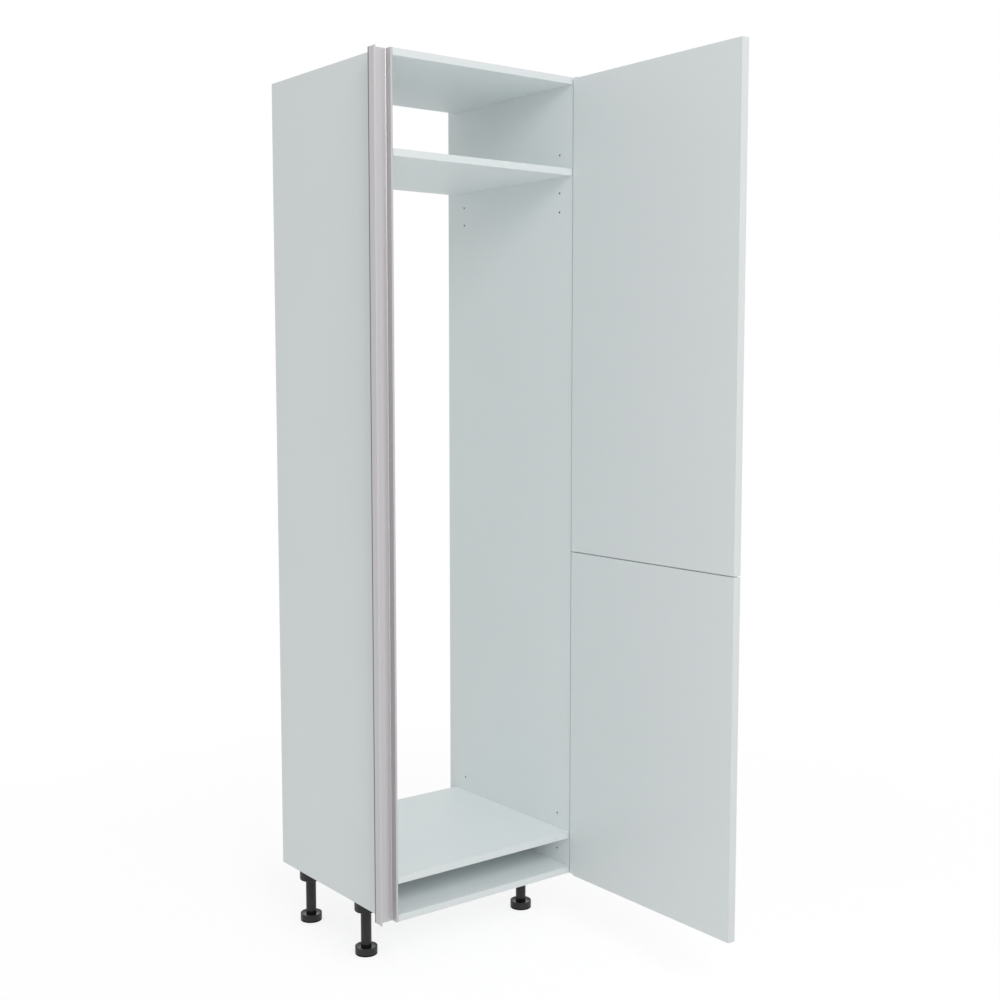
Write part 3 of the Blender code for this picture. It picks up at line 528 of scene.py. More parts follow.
def solid_mesh(work, finish):
    """Turns a closed bmesh into a mesh with its faces pointing outwards, in one finish."""
    bmesh.ops.recalc_face_normals(work, faces=work.faces)
    return plain_mesh(work, [finish])


def added(name, data):
    """A new object in the scene."""
    made = bpy.data.objects.new(name, data)
    bpy.context.scene.collection.objects.link(made)
    return made


def settled(source, extra=()):
    """The mesh that an object's modifiers make of it. The object and the extra ones are then removed."""
    graph = bpy.context.evaluated_depsgraph_get()
    mesh = bpy.data.meshes.new_from_object(source.evaluated_get(graph))
    for used in (source, *extra):
        bpy.data.objects.remove(used, do_unlink=True)
    return mesh


def carved(mesh, *cutters):
    """Takes each cutter's shape out of a mesh. A cutter's finish lines what it cuts."""
    target = added("spare", mesh)
    tools = [added("spare", cutter) for cutter in cutters]
    for tool in tools:
        modifier = target.modifiers.new("cut", "BOOLEAN")
        modifier.operation = "DIFFERENCE"
        modifier.solver = "EXACT"
        modifier.material_mode = "TRANSFER"
        modifier.object = tool
    return settled(target, tools)


def joined(*meshes):
    """One mesh of several, each with its own finishes."""
    finishes = []
    work = bmesh.new()
    for mesh in meshes:
        places = []
        for finish in mesh.materials:
            if finish not in finishes:
                finishes.append(finish)
            places.append(finishes.index(finish))
        start = len(work.faces)
        work.from_mesh(mesh)
        work.faces.ensure_lookup_table()
        for face in work.faces[start:]:
            face.material_index = places[face.material_index]
    return plain_mesh(work, finishes)


def dress(mesh, finish, picks):
    """Gives another finish to the faces that pass a test."""
    mesh.materials.append(finish)
    for face in mesh.polygons:
        if picks(face):
            face.material_index = len(mesh.materials) - 1


def block(low, high):
    """The bmesh of a straight block between two corners."""
    work = bmesh.new()
    placing = Matrix.Translation((low + high) / 2) @ Matrix.Diagonal((*(high - low), 1))
    bmesh.ops.create_cube(work, size=1, matrix=placing)
    return work


def round_off(work, edges, width, cuts, **settings):
    bmesh.ops.bevel(work, geom=edges, offset=width, segments=cuts, profile=0.5, affect="EDGES", **settings)


def slab(low, high, easing, finish, segments=3):
    """A straight block between two corners, with all its edges rounded."""
    work = block(Vector(low), Vector(high))
    if easing:
        round_off(work, work.edges[:], easing, segments)
    return solid_mesh(work, finish)


def edge_strip(low, high, outer, finish, rounding=BAND_ROUNDING):
    """A strip of edge band, well rounded on its outer face and barely eased where it meets the board."""
    low, high = Vector(low), Vector(high)
    work = block(low, high)
    inner = [e for e in work.edges if all(abs(v.co.y - outer) > TOUCH for v in e.verts)]
    round_off(work, inner, BAND_SEAM_CHAMFER, 1)
    rim = [e for e in work.edges if all(abs(v.co.y - outer) < TOUCH for v in e.verts)]
    round_off(work, rim, min(rounding, (high.y - low.y) * MOST_ROUNDING), 4)
    return solid_mesh(work, finish)


def eased(mesh, width):
    """Takes the bite off the sharp edges of a mesh."""
    work = bmesh.new()
    work.from_mesh(mesh)
    bmesh.ops.dissolve_limit(work, angle_limit=0.01, verts=work.verts[:], edges=work.edges[:])
    least = math.radians(EASED_ANGLE)
    sharp = [e for e in work.edges if len(e.link_faces) == 2 and e.calc_face_angle() > least]
    round_off(work, sharp, width, 2, clamp_overlap=True)
    return plain_mesh(work, mesh.materials)


def turned(profile, sides, finish, closed=False):
    """A solid of revolution about Z, from a line of (radius, height).

    A point on the axis is a ring of one, so the faces that reach it are triangles.
    """
    work = bmesh.new()
    rings = []
    for radius, height in profile:
        count = sides if radius else 1
        turn = [math.tau * step / sides for step in range(count)]
        rings.append([work.verts.new((radius * math.cos(a), radius * math.sin(a), height)) for a in turn])
    pairs = list(zip(rings, rings[1:]))
    if closed:
        pairs.append((rings[-1], rings[0]))
    for lower, upper in pairs:
        for step in range(sides if len(lower) + len(upper) > 2 else 0):
            after = (step + 1) % sides
            under = lower[step % len(lower)], lower[after % len(lower)]
            over = upper[after % len(upper)], upper[step % len(upper)]
            work.faces.new(dict.fromkeys(under + over))
    return solid_mesh(work, finish)


def rounded(points, radius=0, steps=3, closed=True):
    """Rounds the corners of an outline. A point with a third number has its own radius."""
    found = []
    count = len(points)
    for number, point in enumerate(points):
        here = Vector(point[:2])
        reach = point[2] if len(point) > 2 else radius
        end = not closed and number in (0, count - 1)
        before = Vector(points[number - 1][:2]) - here
        after = Vector(points[(number + 1) % count][:2]) - here
        if end or not reach:
            found.append(tuple(here))
            continue
        half = before.angle(after) / 2
        length = min(reach / math.tan(half), before.length * SIDE_SHARE, after.length * SIDE_SHARE)
        start = here + before.normalized() * length
        stop = here + after.normalized() * length
        for step in range(steps + 1):
            share = step / steps
            found.append(tuple(start * (1 - share) ** 2 + here * 2 * share * (1 - share) + stop * share**2))
    return found


def arc(centre, radius, start, stop, steps):
    """Points along part of a circle, both ends included, each marked as needing no rounding."""
    found = []
    for step in range(steps + 1):
        angle = math.radians(start + (stop - start) * step / steps)
        found.append((centre[0] + radius * math.cos(angle), centre[1] + radius * math.sin(angle), 0))
    return found


def laid(mesh, place, direction=UP, turn=0.0):
    """Lays a mesh that was made about +Z along a direction, at a place."""
    aimed = Vector(direction).to_track_quat("Z", "Y").to_matrix().to_4x4()
    mesh.transform(Matrix.Translation(place) @ aimed @ Matrix.Rotation(turn, 4, UP))
    return mesh


def bore(place, inward, radius, depth, finish=CHIPBOARD, flare=0.0):
    """A round cutter that goes in from a face, wider at its mouth by the flare."""
    mouth = [(radius, -OVERRUN)]
    if flare:
        mouth = [(radius + flare + OVERRUN, -OVERRUN), (radius + flare, 0), (radius, flare)]
    profile = [(0, -OVERRUN), *mouth, (radius, depth), (0, depth)]
    return laid(turned(profile, HOLE_SIDES, finish), place, inward)


def seats(steps, sides, places, finish):
    """Cutters for a stepped part with a gap round it, one at each place, which also has its direction."""
    line = [(radius + FIT_GAP, depth + FIT_GAP) for radius, depth in steps]
    profile = [(0, -OVERRUN), (line[0][0], -OVERRUN), *line, (0, line[-1][1])]
    return [laid(turned(profile, sides, finish), place, inward) for place, inward in places]


# Node trees for what repeats, and for what is drawn along a line


class Tree(Nodes):
    """A geometry node tree that takes a geometry, its named inputs and a finish."""

    def __init__(self, name, **inputs):
        super().__init__(bpy.data.node_groups.new(name, "GeometryNodeTree"))
        new_socket = self.tree.interface.new_socket
        new_socket("Geometry", in_out="OUTPUT", socket_type="NodeSocketGeometry")
        for word, kind in {"Geometry": "Geometry", **inputs, "Finish": "Material"}.items():
            new_socket(word, in_out="INPUT", socket_type=f"NodeSocket{kind}")
        self.given = self.tree.nodes.new("NodeGroupInput").outputs

    def upright(self, height):
        return self.add("ShaderNodeCombineXYZ", {"Z": height})

    def height(self):
        """From Bottom to Top."""
        return self.maths("SUBTRACT", self.given["Top"], self.given["Bottom"])

    def raised(self, geometry):
        """Lifts what starts at zero to Bottom."""
        feeds = {"Geometry": geometry, "Translation": self.upright(self.given["Bottom"])}
        return self.add("GeometryNodeTransform", feeds)

    def closed(self, geometry):
        """Ends the tree: instances made real, then the finish."""
        real = self.add("GeometryNodeRealizeInstances", {"Geometry": geometry})
        feeds = {"Geometry": real, "Material": self.given["Finish"]}
        end = self.tree.nodes.new("NodeGroupOutput").inputs["Geometry"]
        self.feed(end, self.add("GeometryNodeSetMaterial", feeds))
        return self.tree


def drawn_tree():
    """Fills closed outlines in plan, holes and all, and draws them up from Bottom to Top."""
    made = Tree("drawn section", Bottom="Float", Top="Float")
    curve = made.add("GeometryNodeMeshToCurve", {"Mesh": made.given["Geometry"]})
    filled = made.add("GeometryNodeFillCurve", {"Curve": curve})
    rise = {"Offset": made.upright(made.height()), "Offset Scale": 1.0, "Individual": False}
    drawn = made.add("GeometryNodeExtrudeMesh", {"Mesh": filled, **rise})
    under = made.add("GeometryNodeFlipFaces", {"Mesh": filled})
    both = made.add("GeometryNodeJoinGeometry")
    for half in (drawn, under):
        made.feed(both.node.inputs[0], half)
    welded = made.add("GeometryNodeMergeByDistance", {"Geometry": both, "Distance": TOUCH})
    return made.closed(made.raised(welded))


def set_out_tree():
    """Sets a piece out on points, each turned so that its Z follows the point's aim."""
    made = Tree("pieces set out", Piece="Object", Turn="Float")
    aim = made.add("GeometryNodeInputNamedAttribute", {"Name": "aim"}, data_type="FLOAT_VECTOR")
    way = made.add("FunctionNodeAlignRotationToVector", {"Vector": aim}, axis="Z")
    turn = {"Rotation": way, "Rotate By": made.upright(made.given["Turn"])}
    spun = made.add("FunctionNodeRotateRotation", turn, rotation_space="LOCAL")
    lent = {"Object": made.given["Piece"], "As Instance": True}
    piece = made.add("GeometryNodeObjectInfo", lent, give="Geometry")
    feeds = {"Points": made.given["Geometry"], "Instance": piece, "Rotation": spun}
    return made.closed(made.add("GeometryNodeInstanceOnPoints", feeds))


def thread_tree():
    """A screw thread: a pointed bead wound round Z at a pitch, from Bottom to Top."""
    made = Tree("wound thread", Radius="Float", Tooth="Float", Pitch="Float", Bottom="Float", Top="Float")
    length = made.height()
    turns = made.maths("DIVIDE", length, made.given["Pitch"])
    spiral = {"Resolution": THREAD_STEPS, "Rotations": turns, "Height": length}
    radii = {"Start Radius": made.given["Radius"], "End Radius": made.given["Radius"]}
    path = made.add("GeometryNodeCurveSpiral", {**spiral, **radii})
    bead = {"Resolution": TOOTH_SIDES, "Radius": made.given["Tooth"]}
    tooth = made.add("GeometryNodeCurvePrimitiveCircle", bead, mode="RADIUS")
    feeds = {"Curve": path, "Profile Curve": tooth, "Fill Caps": True}
    return made.closed(made.raised(made.add("GeometryNodeCurveToMesh", feeds)))


def fluted_tree():
    """A fluted dowel along Z, its two ends drawn in."""
    made = Tree("fluted dowel", Flutes="Int", Radius="Float", Depth="Float", Length="Float")
    outer = made.given["Radius"]
    root = made.maths("SUBTRACT", outer, made.given["Depth"])
    flutes = {"Points": made.given["Flutes"], "Inner Radius": root, "Outer Radius": outer}
    star = made.add("GeometryNodeCurveStar", flutes)
    low, high = [made.upright(made.maths("MULTIPLY", made.given["Length"], share)) for share in (-0.5, 0.5)]
    line = made.add("GeometryNodeCurvePrimitiveLine", {"Start": low, "End": high}, mode="POINTS")
    fine = made.add("GeometryNodeResampleCurve", {"Curve": line, "Count": DOWEL_STEPS})
    from_middle = made.maths("SUBTRACT", made.add("GeometryNodeSplineParameter"), 0.5)
    far = made.maths("ABSOLUTE", from_middle)
    drawn_in = made.ranged(far, DOWEL_TIP_START, 0.5, 1.0, DOWEL_TIP)
    sized = made.add("GeometryNodeSetCurveRadius", {"Curve": fine, "Radius": drawn_in})
    feeds = {"Curve": sized, "Profile Curve": star, "Fill Caps": True}
    return made.closed(made.add("GeometryNodeCurveToMesh", feeds))


def grown(tree, mesh=None, lent=(), **values):
    """Runs a tree on a mesh, with its named inputs, and gives what it makes. Lent objects are removed."""
    source = added("spare", mesh or bpy.data.meshes.new("start"))
    modifier = source.modifiers.new("tree", "NODES")
    modifier.node_group = tree
    for entry in tree.interface.items_tree:
        if entry.name in values:
            modifier[entry.identifier] = values[entry.name]
    return settled(source, lent)


DRAWN = drawn_tree()
SET_OUT = set_out_tree()
THREAD = thread_tree()
FLUTED = fluted_tree()


def drawn(outlines, bottom, top, finish):
    """A solid drawn up from closed outlines in plan. An outline inside another is a hole."""
    points = []
    edges = []
    for outline in outlines:
        start = len(points)
        count = len(outline)
        points += [(x, y, 0) for x, y in outline]
        edges += [(start + n, start + (n + 1) % count) for n in range(count)]
    flat = bpy.data.meshes.new("outline")
    flat.from_pydata(points, edges, [])
    return grown(DRAWN, flat, Bottom=float(bottom), Top=float(top), Finish=finish)


def set_out(mesh, places, turn=0.0):
    """One mesh of a piece repeated at places, each a point and the direction of its Z."""
    spots = bpy.data.meshes.new("spots")
    spots.from_pydata([tuple(place) for place, _ in places], [], [])
    aims = spots.attributes.new("aim", "FLOAT_VECTOR", "POINT")
    aims.data.foreach_set("vector", [value for _, aim in places for value in aim])
    piece = added("spare", mesh)
    return grown(SET_OUT, spots, [piece], Piece=piece, Turn=turn, Finish=mesh.materials[0])


def threaded(body, core, radius, pitch, bottom, top):
    """A turned body with its thread, about Z."""
    sizes = {"Radius": core, "Tooth": radius - core, "Pitch": pitch, "Bottom": bottom, "Top": top}
    return joined(body, grown(THREAD, **sizes, Finish=body.materials[0]))


def fit(name, mesh, nodes, body="carcass"):
    """Puts a finished piece in the row frame, on its body, in place of its CAD nodes."""
    mesh.transform(TO_ROW)
    mesh.name = name
    mesh.shade_smooth()
    mesh.set_sharp_from_angle(angle=math.radians(SHARP_ANGLE))
    made = added(name, mesh)
    weighted = made.modifiers.new("flat faces", "WEIGHTED_NORMAL")
    weighted.mode = "FACE_AREA"
    weighted.keep_sharp = True
    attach(made, body)
    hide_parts(*nodes)


# Boards, with the seats of what they carry


PIVOT_X, PIVOT_Y = standing("middle_pivot_pin")
LEAF_LOW, LEAF_HIGH = heights("middle_pivot_bracket")
TOP_STRAP_LOW, TOP_STRAP_HIGH = heights("top_pivot_strap")
BOTTOM_STRAP_LOW, BOTTOM_STRAP_HIGH = heights("bottom_pivot_strap")
CARCASS_BOTTOM, CARCASS_TOP = heights("left_side_panel")
CORNERS = ["front_left", "front_right", "rear_left", "rear_right"]
REAR_DOWELS = {
    "base_panel": END_BOARD_REAR_DOWEL, "lower_shelf": REAR_ROW,
    "upper_shelf": REAR_ROW, "top_panel": END_BOARD_REAR_DOWEL,
}
STRAP_NOSE = arc((PIVOT_X, PIVOT_Y), STRAP_HALF, 180, 360, STRAP_STEPS)
SIDE_FACES = {"left": (BOARD_THICKNESS, LEFT), "right": (UNIT_WIDTH - BOARD_THICKNESS, RIGHT)}


def strap_screws(height, inward):
    return [(Vector((PIVOT_X, back, height)), inward) for back in STRAP_SCREW_PLACES]


TOP_STRAP_SCREWS = strap_screws(TOP_STRAP_HIGH - SCREW_SUNK, DOWN)
BOTTOM_STRAP_SCREWS = strap_screws(BOTTOM_STRAP_LOW + SCREW_SUNK, UP)
LEAF_SCREW_HEIGHTS = [LEAF_LOW + share * (LEAF_HIGH - LEAF_LOW) for share in LEAF_SCREW_SHARES]
LEAF_SCREWS = [(Vector((PIVOT_X, SCREW_SUNK, height)), BACK) for height in LEAF_SCREW_HEIGHTS]
BRACKET_FACE = -FIT_GAP - BRACKET_WALL
BRACKET_SCREWS = [
    (Vector((BRACKET_FACE + SCREW_SUNK, BRACKET_SCREW_BACK, height)), RIGHT)
    for height in BRACKET_MIDDLES.values()
]


def screw_seats(places, length, finish=CHIPBOARD):
    """The countersinks and pilot holes of screws, in one cutter."""
    steps = [(SCREW_HEAD_RADIUS, 0), (SCREW_RADIUS, SCREW_HEAD), (SCREW_RADIUS, length)]
    return joined(*seats(steps, HOLE_SIDES, places, finish))


def strap_outline(front, half):
    """A strap or its pocket in plan, from what it has in front to its round tail."""
    return rounded(front + arc((PIVOT_X, STRAP_TAIL - STRAP_HALF), half, 0, 180, STRAP_STEPS))


def board(name, node, *cutters):
    """A faced board with its core, a thick band on its front edge and a thin one behind.

    The right side's front edge, which takes the doors' hinges, has a thicker, rounder and paler band in the
    board's own tone; the other front bands are darker with painted shade.
    """
    low, high = limits(node)
    hinged = node == "right_side_panel"
    front = low.y + (HINGE_SIDE_BAND if hinged else FRONT_BAND)
    rear = high.y - REAR_BAND
    core_ends = (low.x, front + BAND_SEAM, low.z), (high.x, rear - BAND_SEAM, high.z)
    body = carved(slab(*core_ends, CORE_EASING, MELAMINE, 2), *cutters)
    # Painted shade: every front band but the hinge side's takes the darker band
    finish, rounding = (MELAMINE, HINGE_SIDE_ROUNDING) if hinged else (SHADED_BAND, BAND_ROUNDING)
    front_strip = edge_strip(low, (high.x, front, high.z), low.y, finish, rounding)
    if hinged:
        front_strip = carved(front_strip, hinge_pockets())
    rear_strip = edge_strip((low.x, rear, low.z), high, high.y, THIN_BAND)
    fit(name, joined(body, front_strip, rear_strip), [node])


def hinge_pockets():
    """What is let into the right side for the straps and the leaf."""
    half = STRAP_HALF + FIT_GAP
    left, right = PIVOT_X - half, PIVOT_X + half
    pocket = strap_outline([(left, -OVERRUN, 0), (right, -OVERRUN, 0)], half)
    leaf_high = (right, LEAF_THICKNESS + FIT_GAP, LEAF_HIGH + FIT_GAP)
    return joined(
        drawn([pocket], TOP_STRAP_LOW - FIT_GAP, CARCASS_TOP + OVERRUN, SHADED_BAND),
        drawn([pocket], CARCASS_BOTTOM - OVERRUN, BOTTOM_STRAP_HIGH + FIT_GAP, SHADED_BAND),
        slab((left, -OVERRUN, LEAF_LOW - FIT_GAP), leaf_high, 0, SHADED_BAND),
    )


def boards():
    dowels = []
    side_bores = {"left": [], "right": []}
    dowel_bore = DOWEL_RADIUS + FIT_GAP
    for node, rear_dowel in REAR_DOWELS.items():
        middle = sum(heights(node)) / 2
        ends = []
        for side, (face, outward) in SIDE_FACES.items():
            for back in (FRONT_ROW, rear_dowel):
                mouth = Vector((face, back, middle))
                side_bores[side].append(bore(mouth, outward, dowel_bore, DOWEL_IN_SIDE + FIT_GAP))
                ends.append(bore(mouth, -outward, dowel_bore, DOWEL_LENGTH - DOWEL_IN_SIDE + FIT_GAP))
                dowels.append((mouth + outward * (DOWEL_IN_SIDE - DOWEL_LENGTH / 2), RIGHT))
            for step in HOLE_STEPS.get(node, ()):
                for back in (FRONT_ROW, REAR_ROW):
                    mouth = Vector((face, back, middle + step * PIN_HOLE_PITCH))
                    hole = bore(mouth, outward, PIN_HOLE_RADIUS, PIN_HOLE_DEPTH, PIN_HOLE, PIN_HOLE_FLARE)
                    side_bores[side].append(hole)
        if node == "base_panel":
            ends += peg_bores()
        board(f"{node}_board", node, joined(*ends))
    left_seats = screw_seats(BRACKET_SCREWS, BRACKET_SCREW)
    board("left_side_board", "left_side_panel", joined(*side_bores["left"]), left_seats)
    strap_seats = screw_seats(TOP_STRAP_SCREWS + BOTTOM_STRAP_SCREWS, STRAP_SCREW)
    right_seats = joined(strap_seats, screw_seats(LEAF_SCREWS, LEAF_SCREW))
    cutters = [joined(*side_bores["right"]), hinge_pockets(), right_seats]
    board("right_side_board", "right_side_panel", *cutters)
    sizes = {"Radius": DOWEL_RADIUS, "Depth": DOWEL_FLUTE_DEPTH, "Length": DOWEL_LENGTH}
    dowel = grown(FLUTED, Flutes=DOWEL_FLUTES, **sizes, Finish=BEECH)
    nodes = [f"{node}_dowel_{corner}" for node in REAR_DOWELS for corner in CORNERS]
    fit("fluted_dowels", set_out(dowel, dowels), nodes)


def leg_axis(leg):
    return Vector((*standing(f"{leg}_leg_column"), 0))


def leg_facing(leg):
    return 0.0 if leg.endswith("left") else math.pi


def peg_places():
    """Where the pegs of all legs stand in plan."""
    found = []
    for leg in CORNERS:
        for number in range(PEGS):
            angle = math.tau * number / PEGS + leg_facing(leg)
            out = Vector((PEG_CIRCLE * math.cos(angle), PEG_CIRCLE * math.sin(angle), 0))
            found.append(leg_axis(leg) + out)
    return found


def peg_bores():
    depth = PEG_TOP - CARCASS_BOTTOM + FIT_GAP
    return [bore(place + UP * CARCASS_BOTTOM, UP, PEG_RADIUS + FIT_GAP, depth) for place in peg_places()]


# Handle profile and its brackets


def hook(edge, out):
    """One hook of the slot in plan, from its root on the outer side to its root in the slot."""
    wall = edge + out * HOOK_WALL
    lip = edge - out * HOOK_LIP
    back = SLOT_BACK + HOOK_WALL
    corners = [(wall, WALL_BACK), (wall, back), (lip, back), (lip, SLOT_BACK), (edge, SLOT_BACK)]
    return [*corners, (edge, WALL_BACK)]


def handle_profile():
    """The extrusion: a flange with a lip, the finger channel, a hollow rib and a slot with two hooks."""
    inner = FLANGE_OUTER + PROFILE_WALL
    lip_end = FLANGE_OUTER - LIP
    lip_back = LIP_SETBACK + PROFILE_WALL
    seal_front = FLANGE_REAR - SEAL_DEPTH
    fillet_middle = (RIB_LEFT - FILLET_RADIUS, CHANNEL_DEPTH - FILLET_RADIUS)
    outline = [
        (lip_end, LIP_SETBACK, NOSE_ROUNDING), (inner, LIP_SETBACK, 0.5), (inner, CHANNEL_DEPTH, 1.0),
        *arc(fillet_middle, FILLET_RADIUS, 90, 0, FILLET_STEPS),
        (RIB_LEFT, 0, NOSE_ROUNDING), (RIB_RIGHT, 0, NOSE_ROUNDING), (RIB_RIGHT, WALL_BACK),
        *hook(SLOT_RIGHT, 1), *reversed(hook(SLOT_LEFT, -1)),
        (inner, WALL_BACK), (inner, seal_front), (FLANGE_OUTER, seal_front),
        (FLANGE_OUTER, lip_back, NOSE_ROUNDING), (lip_end, lip_back, NOSE_ROUNDING),
    ]
    left, right, back = RIB_LEFT + RIB_WALL, RIB_RIGHT - RIB_WALL, WALL_BACK - RIB_WALL
    hollow = [(left, RIB_WALL), (right, RIB_WALL), (right, back), (left, back)]
    seal = [
        (FLANGE_OUTER, seal_front, SEAL_EDGE), (inner, seal_front, SEAL_EDGE),
        (inner, FLANGE_REAR, SEAL_ROUNDING), (FLANGE_OUTER, FLANGE_REAR, SEAL_ROUNDING),
    ]
    section = [rounded(outline, SECTION_ROUNDING), rounded(hollow, HOLLOW_ROUNDING)]
    metal = drawn(section, CARCASS_BOTTOM, CARCASS_TOP, ALUMINIUM)
    rubber = drawn([rounded(seal)], CARCASS_BOTTOM, CARCASS_TOP, SEAL)
    fit("finger_profile", joined(metal, rubber), ["handle_profile"])


def profile_brackets():
    """Three die-cast brackets, each with its head in the profile's slot and its foot on the side."""
    neck_left = (SLOT_LEFT + SLOT_RIGHT) / 2 - BRACKET_NECK / 2
    neck_right = neck_left + BRACKET_NECK
    head_front = WALL_BACK + FIT_GAP
    head_back = head_front + BRACKET_HEAD
    arm_front = SLOT_BACK + HOOK_WALL + BRACKET_WALL
    arm_back = arm_front + BRACKET_WALL
    foot_back = arm_back + BRACKET_FOOT
    head_left, head_right = SLOT_LEFT + FIT_GAP, SLOT_RIGHT - FIT_GAP
    outline = [
        (head_left, head_front), (head_right, head_front), (head_right, head_back),
        (neck_right, head_back), (neck_right, arm_front, 1.2),
        (-FIT_GAP, arm_front), (-FIT_GAP, foot_back),
        (BRACKET_FACE, foot_back, 1.2), (BRACKET_FACE, arm_back, 1.6),
        (neck_left, arm_back, 1.4), (neck_left, head_back), (head_left, head_back),
    ]
    plan = rounded(outline, BRACKET_ROUNDING)
    for (name, middle), seat in zip(BRACKET_MIDDLES.items(), BRACKET_SCREWS):
        raw = drawn([plan], middle - BRACKET_HEIGHT / 2, middle + BRACKET_HEIGHT / 2, DIE_CAST)
        mesh = carved(raw, screw_seats([seat], BRACKET_SCREW, DIE_CAST))
        fit(f"{name}_bracket", mesh, [f"{name}_profile_bracket"])


# Screws


def screw(length):
    """A countersunk chipboard screw with a cross recess, head face at zero, pointing along +Z."""
    profile = [
        (0, 0), (SCREW_HEAD_RADIUS - HEAD_EDGE, 0), (SCREW_HEAD_RADIUS, HEAD_EDGE_DEPTH),
        (SCREW_RADIUS, SCREW_HEAD), (SCREW_CORE, SCREW_HEAD + SCREW_NECK),
        (SCREW_CORE, length - SCREW_TIP), (0, length),
    ]
    low = (-RECESS_REACH, -RECESS_WIDTH / 2, -OVERRUN)
    high = (RECESS_REACH, RECESS_WIDTH / 2, RECESS_DEPTH)
    bars = [laid(slab(low, high, 0, ZINC), (0, 0, 0), UP, turn) for turn in (0, math.pi / 2)]
    body = carved(turned(profile, SCREW_SIDES, ZINC), *bars)
    start = SCREW_HEAD + THREAD_START
    return threaded(body, SCREW_CORE, SCREW_RADIUS, SCREW_PITCH, start, length - SCREW_TIP)


def screws():
    for name, length, places, node, numbers in (
        ("strap_screws_top", STRAP_SCREW, TOP_STRAP_SCREWS, "top_pivot_strap_screw_{}", (1, 2)),
        ("strap_screws_bottom", STRAP_SCREW, BOTTOM_STRAP_SCREWS, "bottom_pivot_strap_screw_{}", (1, 2)),
        ("leaf_screws", LEAF_SCREW, LEAF_SCREWS, "middle_pivot_screw_{}", (1, 2)),
        ("bracket_screws", BRACKET_SCREW, BRACKET_SCREWS, "{}_bracket_screw", BRACKET_MIDDLES),
    ):
        mesh = set_out(screw(length), places, math.radians(SCREW_TURN))
        fit(name, mesh, [node.format(number) for number in numbers])


# Pivot hinges


def pivot_hole(bottom, top):
    return bore((PIVOT_X, PIVOT_Y, bottom), UP, PIN_RADIUS + FIT_GAP, top - bottom + OVERRUN, ZINC)


def pivot_plates():
    """The two end straps and the leaf between the doors."""
    outline = strap_outline(STRAP_NOSE, STRAP_HALF)
    for node, places in (("top_pivot_strap", TOP_STRAP_SCREWS), ("bottom_pivot_strap", BOTTOM_STRAP_SCREWS)):
        bottom, top = heights(node)
        plate = eased(drawn([outline], bottom, top, ZINC), STRAP_EASING)
        mesh = carved(plate, pivot_hole(bottom, top), screw_seats(places, STRAP_SCREW, ZINC))
        fit(f"{node}_plate", mesh, [node])
    left, right = PIVOT_X - STRAP_HALF, PIVOT_X + STRAP_HALF
    leaf = slab((left, 0, LEAF_LOW), (right, LEAF_THICKNESS, LEAF_HIGH), LEAF_EASING, ZINC, 2)
    leaf = carved(leaf, screw_seats(LEAF_SCREWS, LEAF_SCREW, ZINC))
    bottom = sum(heights("middle_pivot_pin")) / 2 - TONGUE / 2
    top = bottom + TONGUE
    root = [(right, TONGUE_ROOT, 0), (left, TONGUE_ROOT, 0)]
    tongue = eased(drawn([rounded(STRAP_NOSE + root)], bottom, top, ZINC), TONGUE_EASING)
    tongue = carved(tongue, pivot_hole(bottom, top))
    fit("middle_pivot_leaf", joined(leaf, tongue), ["middle_pivot_bracket"])


def pivot_pins():
    pins = []
    nodes = ["top_pivot_pin", "middle_pivot_pin", "bottom_pivot_pin"]
    for node in nodes:
        bottom, top = heights(node)
        line = [(0, bottom), (PIN_RADIUS, bottom, PIN_ROUNDING), (PIN_RADIUS, top, PIN_ROUNDING), (0, top)]
        pins.append(turned(rounded(line, closed=False), PIN_SIDES, ZINC))
    fit("pivot_pins", laid(joined(*pins), (PIVOT_X, PIVOT_Y, 0)), nodes)


def bush():
    """A flanged sleeve with a closed end, its flange face at zero, going in along +Z."""
    hole = PIN_RADIUS + FIT_GAP
    line = [
        (hole, 0, 0.2), (BUSH_FLANGE_RADIUS, 0, 0.3), (BUSH_FLANGE_RADIUS, BUSH_FLANGE, 0.3),
        (BUSH_RADIUS, BUSH_FLANGE, 0.3), (BUSH_RADIUS, BUSH_LENGTH, 0.5), (0, BUSH_LENGTH),
    ]
    inside = [(0, BUSH_LENGTH - BUSH_END), (hole, BUSH_LENGTH - BUSH_END)]
    return turned([*rounded(line, closed=False)[1:], *inside], BUSH_SIDES, NYLON, closed=True)


def doors():
    steps = [(BUSH_FLANGE_RADIUS, BUSH_FLANGE), (BUSH_RADIUS, BUSH_FLANGE), (BUSH_RADIUS, BUSH_LENGTH)]
    for node in ("upper_door", "lower_door"):
        low, high = limits(node)
        bushes = [f"{node}_lower_bush", f"{node}_upper_bush"]
        lower_end = Vector((PIVOT_X, PIVOT_Y, heights(bushes[0])[0]))
        upper_end = Vector((PIVOT_X, PIVOT_Y, heights(bushes[1])[1]))
        ends = [(lower_end, UP), (upper_end, DOWN)]
        leaf = slab(low, high, DOOR_ROUNDING, LACQUER, 4)
        # The door's faces that look to the front take the darker band: painted shade
        dress(leaf, SHADED_DOOR_BAND, lambda face: face.normal.y < -FACING)
        cutters = seats(steps, BUSH_SIDES, ends, CHIPBOARD)
        if node == "lower_door":
            notch_low = (low.x - OVERRUN, PIVOT_Y - STRAP_HALF - NOTCH_CLEARANCE, low.z - OVERRUN)
            notch_high = (PIVOT_X + NOTCH_REACH, high.y + OVERRUN, NOTCH_TOP)
            cutters.append(slab(notch_low, notch_high, 0, SHADED_BAND))
        fit(f"{node}_leaf", carved(leaf, *cutters), [node], node)
        fit(f"{node}_bushes", set_out(bush(), ends), bushes, node)


# Legs


